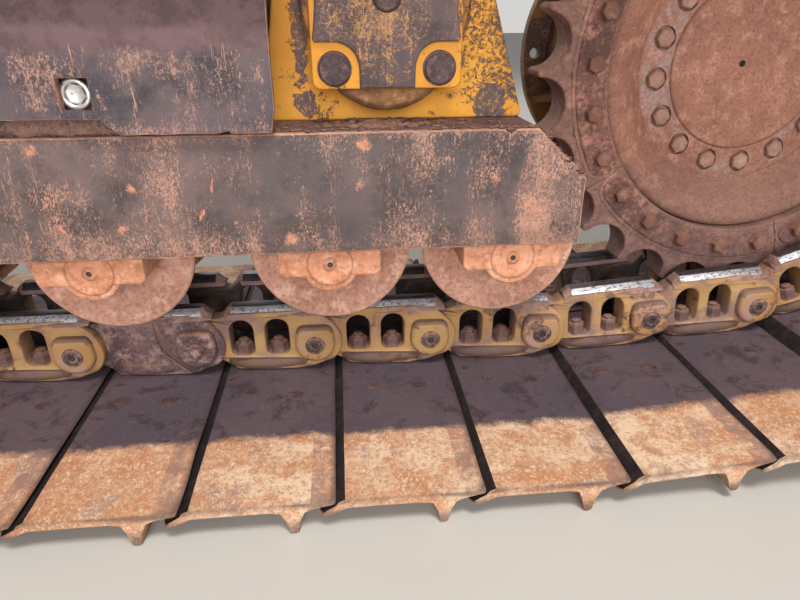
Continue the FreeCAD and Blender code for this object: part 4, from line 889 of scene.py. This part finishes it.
block = shaft_block()
blocks = joined([part.moved(x, 0, roller_z) for x in roller_xs for part in (block, block.mirrored())])
make("roller_blocks_detail", blocks, [BLOCK_DUST, LINK_SHADE], "roller_blocks")


# Guards, with their upper corners cut off and knocked-about edges.

GUARD_RUN, GUARD_DROP = 83, 78
EDGE_STEP = 26


def broken_line(start, end, amount, seed):
    # A straight edge that has been knocked about.
    length = np.linalg.norm(end - start)
    count = max(2, int(length / EDGE_STEP))
    across = np.array([-(end - start)[1], (end - start)[0]]) / length
    points = []
    for number in range(count):
        shift = amount * noise.noise(Vector((number * 0.73 + seed, seed, 0))) if number else 0
        points.append(tuple(start + number / count * (end - start) + across * shift))
    return points


def guard():
    (x0, y0, z0), (x1, y1, z1) = guard_low, guard_high
    corners = np.array([
        (x0 + 1, z0 + 1), (x1 - 1, z0 + 1), (x1 - 1, z1 - GUARD_DROP), (x1 - GUARD_RUN, z1 - 0.5),
        (x0 + GUARD_RUN, z1 - 0.5), (x0 + 1, z1 - GUARD_DROP)])
    outline = []
    for number, amount in enumerate((1.4, 1.2, 2.0, 0.6, 3.0, 2.4)):
        outline += broken_line(corners[number], corners[(number + 1) % 6], amount, number * 5.1)
    part = plate([outline], y0, y1 - 0.5, 2.6)
    # A second material on the bevels and edges.
    rims = [int(np.ptp(part.vertices[list(face), 1]) > 0.05) for face in part.faces]
    return Part(part.vertices, part.faces, rims)


outer_guard = guard()
make("outer_guard_detail", outer_guard, [GUARD_STEEL, EDGE_RUST], "roller_guard_outer")
make("inner_guard_detail", outer_guard.mirrored(), [GUARD_STEEL, EDGE_RUST], "roller_guard_inner")


# Front cover: an upright sheet bent inward over the beam's shoulder.

COVER_SHEET = 16
COVER_STEP, COVER_STEP_RUN, COVER_STEP_RISE = 208, 24, 22
PORT_HALF, PORT_SHIFT = 20.5, -6.5
NICK_X, NICK_HALF, NICK_RISE = -799, 9, 6
BEND_RADIUS, BEND_ANGLES = 95, (9, 18, 27, 36, 45)
SHOULDER = 85


def front_cover():
    # Columns of the sheet along X and rows up its side, with the port's edges among them.
    x0, x1, low = cover_low[0], cover_high[0], cover_low[2]
    step = x0 + COVER_STEP
    port_x, port_z = fitting[0] + PORT_SHIFT, fitting[2] - 1
    columns = sorted(set(np.round(np.concatenate([
        np.linspace(x0, NICK_X - 16, 5), [NICK_X - NICK_HALF / 2, NICK_X, NICK_X + NICK_HALF * 1.6],
        np.linspace(NICK_X + 26, step - 14, 7),
        [step - 4, step, step + COVER_STEP_RUN * 0.5, step + COVER_STEP_RUN, step + COVER_STEP_RUN + 10],
        [port_x - PORT_HALF, port_x + PORT_HALF], np.linspace(port_x + 60, x1, 34)]), 2)))
    upright_top = beam_high[2] - SHOULDER - BEND_RADIUS * math.tan(math.radians(22.5))
    rows = [(cover_high[1], z) for z in (
        low, low + 4, low + 12, port_z - PORT_HALF, port_z + PORT_HALF, upright_top)]
    rows += [(cover_high[1] - BEND_RADIUS + across, upright_top + rise)
             for across, rise in (at(BEND_RADIUS, angle) for angle in BEND_ANGLES)]
    y_end, z_end = rows[-1]
    rows += [(y_end - slope, z_end + slope) for slope in (cover_high[2] - z_end) * np.array((0.5, 0.96))]
    vertices = []
    for x in columns:
        lift = COVER_STEP_RISE * eased(x, step, step + COVER_STEP_RUN)
        for y, z in rows:
            squeeze = max(0.0, 1 - (z - low) / (port_z - PORT_HALF - low))
            ripple = 1.1 * noise.noise(Vector((x / 90, z / 70, 0.3))) - 1.1
            ragged = 1.2 * abs(noise.noise(Vector((x / 17, 4.2, 0)))) if z == low else 0
            nick = NICK_RISE if z == low and abs(x - NICK_X) < 1 else 0
            lean = 6 * squeeze if x == columns[0] else 0
            vertices.append((x + lean, y + ripple, z + lift * squeeze + ragged + nick))
    faces, tall = [], len(rows)
    for column in range(len(columns) - 1):
        for row in range(tall - 1):
            middle_x = (columns[column] + columns[column + 1]) / 2
            middle_z = (rows[row][1] + rows[row + 1][1]) / 2
            if abs(middle_x - port_x) > PORT_HALF or abs(middle_z - port_z) > PORT_HALF:
                a = column * tall + row
                faces.append((a, a + tall, a + tall + 1, a + 1))
    return Part(vertices, faces)


cover = make("front_cover_detail", front_cover(), [COVER_STEEL], "front_cover", smooth=50)
thick = cover.modifiers.new("sheet", "SOLIDIFY")
thick.thickness = (COVER_SHEET - 1) * MM
thick.offset = -1
edge = cover.modifiers.new("edges", "BEVEL")
edge.width = 2.4 * MM
edge.segments = 2
edge.limit_method = "ANGLE"
edge.angle_limit = math.radians(50)
sheet = bpy.data.meshes.new_from_object(cover.evaluated_get(bpy.context.evaluated_depsgraph_get()))
cover.modifiers.clear()
cover.data = sheet
sheet.materials.append(EDGE_RUST)
for polygon in sheet.polygons:
    rim = polygon.normal.z < -0.25 or abs(polygon.normal.x) > 0.25
    polygon.material_index = int(rim and polygon.normal.y > -0.9)

fitting_cap = joined([
    lathe([(16, 0), (17, 6), (20, 9), (20.5, 12), (19, 14), (16.5, 14.5), (14, 13)], 36),
    lathe([(14.5, 13.3), (13, 9), (11, 8), (0, 7.5)], 6).spun(12)])
make("fitting_detail", fitting_cap.moved(fitting[0] - 1.5, beam_high[1], fitting[2] - 2), [PLATED],
     "grease_fitting", 30)


# Pivot casting, cap and bolts.

HUB_RADIUS, HUB_FACE_RADIUS = 135, 124
BORE_RADIUS, BORE_DEPTH = 70, 270
SADDLE_HALF, SADDLE_RISE, SADDLE_REACH, SADDLE_TAPER, SADDLE_TOE = 107, 108, 148, 84, 14
BOSS_DROP, BOSS_RIM, BOSS_END = 49, 107, 153


def pivot_casting():
    # The saddle on the beam, the turned hub with its bore, and a rusty boss below the cap.
    x, z = pivot[[0, 2]]
    outline = rounded([(hub_low[0] - 5, hub_low[2]), (hub_high[0] + SADDLE_TOE, hub_low[2]),
                       (x + SADDLE_REACH, z + SADDLE_RISE), (hub_low[0] + SADDLE_TAPER, z + SADDLE_RISE)], 14)
    saddle = plate([[(x, max(z, hub_low[2])) for x, z in outline]], -SADDLE_HALF, SADDLE_HALF, 4.0, 3)
    bore_end = hub_low[1] + BORE_DEPTH
    hub = lathe([
        (BORE_RADIUS, bore_end - 3), (BORE_RADIUS, hub_low[1] + 4), (BORE_RADIUS + 3, hub_low[1]),
        (HUB_RADIUS - 5, hub_low[1]), (HUB_RADIUS, hub_low[1] + 5), (HUB_RADIUS, -SADDLE_HALF),
        (HUB_FACE_RADIUS, SADDLE_HALF - 8), (HUB_FACE_RADIUS, hub_high[1] - 6),
        (HUB_FACE_RADIUS - 5, hub_high[1]), (0, hub_high[1])], 72)
    floor = lathe([(0, bore_end), (BORE_RADIUS, bore_end), (BORE_RADIUS, bore_end - 3)], 72)
    boss = lathe([(BOSS_RIM - inset, BOSS_END - drop) for inset, drop in (
        (0, BOSS_END), (0, 16), (1, 9), (5, 3), (9, 1), (14, 4), (BOSS_RIM, 4))], 72)
    return joined([saddle.roughened(0.8, 30), hub.moved(x, 0, z), floor.moved(x, 0, z).painted(1),
                   boss.moved(x, 0, z - BOSS_DROP).roughened(1.0, 18).painted(2)])


make("pivot_casting_detail", pivot_casting(), [SADDLE_PAINT, CHIPPED, CASTING_RUST], "pivot_casting")

CAP_HALF_WIDTH, CAP_HALF_HEIGHT, CAP_CORNER = 110, 122, 14
EAR_RADIUS, PANEL_WAIST = 36, 7
BOLT_X, BOLT_Z = 77, 94
CAP_FLOOR = 164
HEAD_FACE = bolts_high[1] - 17


def cap_panel():
    # The raised middle of the cap, cut back round each bolt to the cap's side and end.
    side, top = CAP_HALF_WIDTH - 2, CAP_HALF_HEIGHT - 1
    shelf = BOLT_Z - EAR_RADIUS
    waist = [(side - PANEL_WAIST * math.cos(math.pi * z / (2 * shelf)), z)
             for z in np.linspace(0, shelf - 5, 6)[1:]]
    quarter = (waist + [(side - 4, shelf)] + circle(EAR_RADIUS, 9, (BOLT_X, BOLT_Z), -90, -180)
               + [(BOLT_X - EAR_RADIUS, top)])
    upper = quarter + [(-x, z) for x, z in quarter[::-1]]
    return upper + [(-side + PANEL_WAIST, 0)] + [(-x, -z) for x, z in upper] + [(side - PANEL_WAIST, 0)]


cap_outline = [(-CAP_HALF_WIDTH, -CAP_HALF_HEIGHT), (CAP_HALF_WIDTH, -CAP_HALF_HEIGHT),
               (CAP_HALF_WIDTH, CAP_HALF_HEIGHT), (-CAP_HALF_WIDTH, CAP_HALF_HEIGHT)]
plug = lathe([(21, -1), (19.5, 4), (16.5, 5), (14, 2.5), (0, 2.5)], 28).moved(0, cap_high[1], 0)
cap = joined([plate([rounded(cap_outline, CAP_CORNER, 6)], cap_low[1], CAP_FLOOR, 2.5),
              plate([cap_panel()], CAP_FLOOR - 5, cap_high[1], 4.0, 4).roughened(0.5, 12).painted(1),
              plug.painted(2)])
make("pivot_cap_detail", cap.moved(*pivot), [YELLOW, PANEL_STEEL, HEAD_STEEL], "pivot_cap")

cap_bolt = lathe([(25, CAP_FLOOR - 1), (25, CAP_FLOOR + 0.6), (23.2, CAP_FLOOR + 0.8), (22.4, CAP_FLOOR + 1.5),
                  (22.4, HEAD_FACE - 3), (21.6, HEAD_FACE - 0.8), (19.5, HEAD_FACE - 0.2), (0, HEAD_FACE)], 40)
cap_bolts = joined([cap_bolt.moved(pivot[0] + x, 0, pivot[2] + z)
                    for x in (-BOLT_X, BOLT_X) for z in (-BOLT_Z, BOLT_Z)])
make("pivot_cap_bolts_detail", cap_bolts.roughened(0.4, 9), [HEAD_STEEL], "pivot_cap_bolts")


# Sprocket: five bolted tooth segments on a dished hub with a round cover.

TOOTH_COUNT, SEGMENTS = 25, 5
TOOTH_STEP, SEGMENT_SPAN = 360 / TOOTH_COUNT, 360 / SEGMENTS
PITCH_RADIUS = PITCH / (2 * math.sin(math.radians(TOOTH_STEP)))
GAP_RADIUS, GAP_PLACE, TIP_RADIUS = 45.4, 419, 421.5
SEGMENT_INNER, SEGMENT_HALF = 299, 38
PAD_RADIUS, PAD_HALF = 330.5, 26.5

# The joints lie at a tooth gap, one of them just below the sprocket's front.
JOINT_TURN, JOINT_NEAR = 2.4, -34
first_round = next(pin - sprocket[[0, 2]] for pin in pins
                   if abs(np.linalg.norm(pin - sprocket[[0, 2]]) - PITCH_RADIUS) < 3)
gap_angle = math.degrees(math.atan2(first_round[1], first_round[0]))
FIRST_GAP = gap_angle + TOOTH_STEP * round((JOINT_NEAR - JOINT_TURN - gap_angle) / TOOTH_STEP)


def segment_outline(first):
    # Inner arc clockwise, then the teeth from one joint to the next.
    joint = first + JOINT_TURN
    slit = math.degrees(0.5 / SEGMENT_INNER)
    points = circle(SEGMENT_INNER, 15, (0, 0), joint + SEGMENT_SPAN - slit, joint + slit)
    teeth = TOOTH_COUNT // SEGMENTS
    floor_turn = 180 - math.degrees(math.asin((GAP_PLACE - GAP_RADIUS) * math.sin(math.radians(JOINT_TURN))
                                              / GAP_RADIUS))
    for tooth in range(teeth + 1):
        angle = first + tooth * TOOTH_STEP
        begin = floor_turn - 0.6 if tooth == 0 else 264
        finish = floor_turn + 0.6 if tooth == teeth else 96
        points += circle(GAP_RADIUS, 8 if tooth in (0, teeth) else 14, at(GAP_PLACE, angle),
                         angle + begin, angle + finish)
        if tooth < teeth:
            points += [at(TIP_RADIUS - drop, angle + TOOTH_STEP * 0.5 + turn)
                       for drop, turn in ((1, -0.62), (0, -0.35), (0, 0.35), (1, 0.62))]
    return points


def kidney(first, last, radius, half, count=16):
    # A band along an arc with round ends.
    return (circle(radius + half, count, (0, 0), first, last)
            + circle(half, 9, at(radius, last), last, last + 180)[1:-1]
            + circle(radius - half, count, (0, 0), last, first)
            + circle(half, 9, at(radius, first), first + 180, first + 360)[1:-1])


def tapered(x, y, z):
    # Narrows the teeth towards their tips.
    return x, y * (1 - 0.18 * eased(np.hypot(x, z), 376, TIP_RADIUS)), z


def segment(number):
    # Teeth, a raised pad with a lip round it, and five bolts on the pad.
    first = FIRST_GAP + number * SEGMENT_SPAN
    teeth = plate([segment_outline(first)], -SEGMENT_HALF, SEGMENT_HALF, 3.5).warped(tapered)
    first += JOINT_TURN
    pad = plate([kidney(first + 5.6, first + 66.4, PAD_RADIUS, PAD_HALF)], SEGMENT_HALF - 4, SEGMENT_HALF + 5,
                3.5, 3)
    lip = plate([kidney(first + 5.4, first + 66.6, PAD_RADIUS + 2, PAD_HALF + 5)], SEGMENT_HALF - 4,
                SEGMENT_HALF + 1.4, 1.2, 1)
    parts = [teeth, pad.painted(2), lip]
    for bolt in range(5):
        x, z = at(329, first + 7.1 + bolt * TOOTH_STEP)
        head = hex_bolt(15.5, 16).spun(17 * bolt).roughened(0.6, 7, number + bolt)
        parts.append(head.moved(x, SEGMENT_HALF + 4.5, z).painted(1))
    return joined(parts)


segments = joined([segment(number) for number in range(SEGMENTS)])
make("sprocket_segments_detail", segments.moved(*sprocket), [SPROCKET_RUST, BOLT_RUST, PAD_RUST],
     "sprocket_segments")

HUB_RIM, HUB_BORE = 297, 150
RING_RADIUS, RING_FACE, RING_FLOOR = 212, -26, -34
BOLT_CIRCLE, COUNTERBORE_RADIUS, FIRST_BOLT, HUB_BOLTS = 180, 20.5, 15, 16
hub_profile = [(HUB_BORE, -62), (341, -62), (343, -60), (343, -40), (341, -38), (299, -38), (HUB_RIM, 18),
               (294, 23), (287, 25.5), (277, 24.5), (264, 18), (248, 5), (232, -9), (220, -20),
               (RING_RADIUS, -25), (RING_RADIUS - 1, RING_FLOOR), (HUB_BORE, RING_FLOOR)]
bolt_places = [at(BOLT_CIRCLE, FIRST_BOLT + number * 360 / HUB_BOLTS) for number in range(HUB_BOLTS)]
counterbores = [circle(COUNTERBORE_RADIUS, 24, place) for place in bolt_places]
hub_parts = [lathe(hub_profile + hub_profile[:1], 96).roughened(0.5, 40),
             plate([circle(RING_RADIUS, 96), circle(153.6, 80), *counterbores], RING_FLOOR, RING_FACE, 0.8, 1)]
for number, (x, z) in enumerate(bolt_places):
    head = hex_bolt(17.5, 14).spun(13 * number).roughened(0.7, 8, number)
    hub_parts.append(head.moved(x, RING_FLOOR, z).painted(1))
make("sprocket_hub_detail", joined(hub_parts).moved(*sprocket), [DISC_RUST, PALE_BOLT],
     "sprocket_hub")

COVER_RADIUS, COVER_FACE = 153, -23
drive_cover = lathe([
    (COVER_RADIUS, RING_FLOOR), (COVER_RADIUS, COVER_FACE - 3), (COVER_RADIUS - 2, COVER_FACE - 1),
    (COVER_RADIUS - 6, COVER_FACE), (80, COVER_FACE + 0.6), (0, COVER_FACE + 1)], 80)
# The plug's hole is painted near black as shade.
plug_hole = lathe([(6.5, 0.6), (5.5, 1.6), (0, 1.7)], 16).moved(18, COVER_FACE, 2.5)
make("drive_cover_detail", joined([drive_cover, plug_hole.painted(1)]).moved(*sprocket),
     [DISC_RUST, LINK_SHADE], "drive_cover", 30)


# Final drive housing with its open flange holes.

FLANGE_RADIUS, FLANGE_FACE, HOLE_RADIUS = 300, -473, 13


def flange_holes():
    # Middles in X and Z of the CAD flange's holes, from the sprocket's axis.
    points = points_of("final_drive_housing") - sprocket
    points = points[points[:, 1] < FLANGE_FACE - 5][:, [0, 2]]
    points = points[np.linalg.norm(points, axis=1) < FLANGE_RADIUS - 10]
    middles = [(group.min(axis=0) + group.max(axis=0)) / 2 for group in groups(points, 2 * HOLE_RADIUS + 4)]
    return [middle for middle in middles if np.linalg.norm(middle) > 100]


holes = flange_holes()
housing_parts = [
    plate([circle(FLANGE_RADIUS, 96), *(circle(HOLE_RADIUS, 20, hole) for hole in holes)], housing_low[1],
          FLANGE_FACE),
    lathe([(0, FLANGE_FACE + 1), (245, FLANGE_FACE + 1), (245, -330), (252, -324), (252, -296), (245, -290),
           (245, -92), (236, -76), (214, -66), (HUB_BORE - 1, -65), (HUB_BORE - 1, -42), (0, -42)], 80)]
rib = plate([[(240, FLANGE_FACE), (288, FLANGE_FACE), (284, FLANGE_FACE + 16), (246, FLANGE_FACE + 110),
              (240, FLANGE_FACE + 110)]], -9, 9, 2.0, 1).warped(lambda x, y, z: (x, z, -y))
for x, z in holes:
    housing_parts.append(rib.spun(math.degrees(math.atan2(z, x)) + 180 / len(holes)))
make("final_drive_detail", joined(housing_parts).moved(*sprocket), [HOUSING_SHADED], "final_drive_housing")


# Idler and carrier rollers.

idler_wheel = lathe(two_sided([
    (0, 112), (38, 112), (40, 109), (100, 109), (105, 104), (105, 92), (128, 90), (140, 86), (330, 86),
    (344, 90), (352, 98), (389, 99), (395, 94), (395, 49), (411, 48), (416, 43)]), 96)
make("idler_detail", idler_wheel.moved(*idler), [ROLLER_DUST], "idler", 30)

carrier = lathe(two_sided([(0, 106), (34, 106), (36, 103), (84, 103), (88, 100), (99, 100), (100, 98),
                           (100, 52), (115, 50), (118, 46)]), 56)
carriers = [carrier.moved(x, 0, z) for x, z in solid_middles("carrier_rollers", CARRIER_REACH)]
make("carriers_detail", joined(carriers), [ROLLER_DUST], "carrier_rollers", 30)


# Finishes of the CAD nodes that stay.

FINISHES = {
    "track_frame": FRAME_STEEL, "recoil_beam": FRAME_STEEL, "idler_yoke": FRAME_STEEL,
    "recoil_end_plate": FRAME_STEEL, "carrier_brackets": GUARD_STEEL, "idler_blocks": GUARD_STEEL,
}
for name, material in FINISHES.items():
    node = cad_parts[name]
    node.data.materials.clear()
    node.data.materials.append(material)


# Dirt lying on the ledges.

def lump(size, seed):
    stretch = [size * random.uniform(low, high) for low, high in ((0.9, 1.7), (0.7, 1.0), (0.35, 0.7))]
    ball = lathe([(0, -1), (0.6, -0.8), (0.95, -0.3), (1, 0.1), (0.75, 0.6), (0.35, 0.85), (0, 0.95)], 9)
    ball = ball.stood_up()
    return Part(ball.vertices * stretch, ball.faces).roughened(size * 0.4, size * 0.7, seed)


lumps = []
for number in range(220):
    x = random.uniform(guard_low[0] + 90, guard_high[0] - 90)
    size = random.uniform(1.6, 4.6)
    y = random.uniform(frame_high[1] - 4, guard_high[1] - 4)
    lumps.append(lump(size, number).moved(x, y, guard_high[2] + size * 0.05))
for number in range(110):
    x = random.normal(pivot[0], 85)
    size = random.uniform(2.0, 7.5) * (1.3 if abs(x - pivot[0]) < 60 else 0.8)
    y = random.uniform(112, 205)
    lumps.append(lump(size, 300 + number).moved(np.clip(x, pivot[0] - 190, pivot[0] + 165), y, frame_high[2]))
for number in range(70):
    share = random.uniform(0, 1)
    x, z = guard_low[0] + GUARD_RUN * share, guard_high[2] - GUARD_DROP * (1 - share)
    if number % 3 == 0:
        x, z = guard_low[0] + GUARD_RUN + random.uniform(-4, 60), guard_high[2]
    x, z = x + random.uniform(-2, 3), z + random.uniform(-4, 1)
    lumps.append(lump(random.uniform(1.8, 6.0), 500 + number).moved(x, random.uniform(204, 217), z))
for number in range(60):
    x, y = random.normal(-1008, 30), random.uniform(114, 188)
    lumps.append(lump(random.uniform(5, 11), 600 + number).moved(x, y, frame_high[2]))
make("ledge_dirt", joined(lumps), [MUD], smooth=180)
clods = [lump(size, 700 + size).moved(x, cover_high[1] - 1, 649)
         for size, x in ((9, -763), (6, -772), (7, -754))]
make("cover_dirt", joined(clods), [BLOCK_DUST], smooth=180)


# Floor, light and camera.

FLOOR_HALF, FLOOR_Z = 30.0, -0.0004
floor_mesh = bpy.data.meshes.new("floor")
floor_corners = [(x * FLOOR_HALF, y * FLOOR_HALF, FLOOR_Z) for x, y in ((-1, -1), (1, -1), (1, 1), (-1, 1))]
floor_mesh.from_pydata(floor_corners, [], [(0, 1, 2, 3)])
floor_mesh.materials.append(plain("pale_floor", (0.58, 0.555, 0.51), 0.8))
floor = bpy.data.objects.new("floor", floor_mesh)
bpy.context.scene.collection.objects.link(floor)


def soft_light(name, place, target, size, power, colour):
    data = bpy.data.lights.new(name, "AREA")
    data.shape = "DISK"
    data.size = size
    data.energy = power
    data.color = colour
    light = bpy.data.objects.new(name, data)
    light.location = place
    light.rotation_euler = (Vector(target) - Vector(place)).to_track_quat("-Z", "Y").to_euler()
    bpy.context.scene.collection.objects.link(light)


soft_light("key", (-1.5, 2.7, 5.2), (-0.9, 0.3, 0.2), 1.5, 245, (1.0, 0.97, 0.92))
soft_light("fill", (-1.0, 5.2, 2.0), (-0.8, 0.2, 0.4), 3.4, 205, (0.98, 0.98, 1.0))
soft_light("back", (0.5, -4.5, 3.6), (-0.3, 0, 0.5), 4.0, 150, (1.0, 0.98, 0.95))

world = bpy.data.worlds.new("studio")
world.use_nodes = True
nodes, links = world.node_tree.nodes, world.node_tree.links
sky = nodes["Background"]
sky.inputs["Color"].default_value = (0.90, 0.93, 0.97, 1)
sky.inputs["Strength"].default_value = 0.28
# The camera and polished metal see a pale wall there.
wall = nodes.new("ShaderNodeBackground")
wall.inputs["Color"].default_value = (0.66, 0.65, 0.63, 1)
rays = nodes.new("ShaderNodeLightPath")
either = nodes.new("ShaderNodeMath")
either.operation = "MAXIMUM"
chooser = nodes.new("ShaderNodeMixShader")
links.new(rays.outputs["Is Camera Ray"], either.inputs[0])
links.new(rays.outputs["Is Glossy Ray"], either.inputs[1])
links.new(either.outputs["Value"], chooser.inputs["Fac"])
links.new(sky.outputs["Background"], chooser.inputs[1])
links.new(wall.outputs["Background"], chooser.inputs[2])
links.new(chooser.outputs["Shader"], nodes["World Output"].inputs["Surface"])
bpy.context.scene.world = world

# The photo's camera, found from the chain's pins, the rollers and the sprocket.
CAMERA_PLACE = Vector((-0.9532, 1.0932, 0.6644))
CAMERA_AHEAD = Vector((-0.0872, -0.8995, -0.4281))
CAMERA_RIGHT = Vector((-0.9953, 0.0965, 0.0))
CAMERA_ROLL = math.radians(-0.20)
FOCAL_LENGTH_PIXELS, IMAGE_WIDTH_PIXELS, SENSOR_WIDTH = 594.7, 800, 36.0

ahead = CAMERA_AHEAD.normalized()
right = (CAMERA_RIGHT - CAMERA_RIGHT.dot(ahead) * ahead).normalized()
axes = Matrix((right, right.cross(ahead), -ahead)).transposed().to_4x4()
camera_data = bpy.data.cameras.new("camera")
camera_data.sensor_width = SENSOR_WIDTH
camera_data.lens = SENSOR_WIDTH * FOCAL_LENGTH_PIXELS / IMAGE_WIDTH_PIXELS
camera_data.clip_start = 0.01
camera = bpy.data.objects.new("camera", camera_data)
camera.matrix_world = Matrix.Translation(CAMERA_PLACE) @ axes @ Matrix.Rotation(CAMERA_ROLL, 4, "Z")
bpy.context.scene.collection.objects.link(camera)
bpy.context.scene.camera = camera
bpy.context.scene.view_settings.view_transform = "Standard"
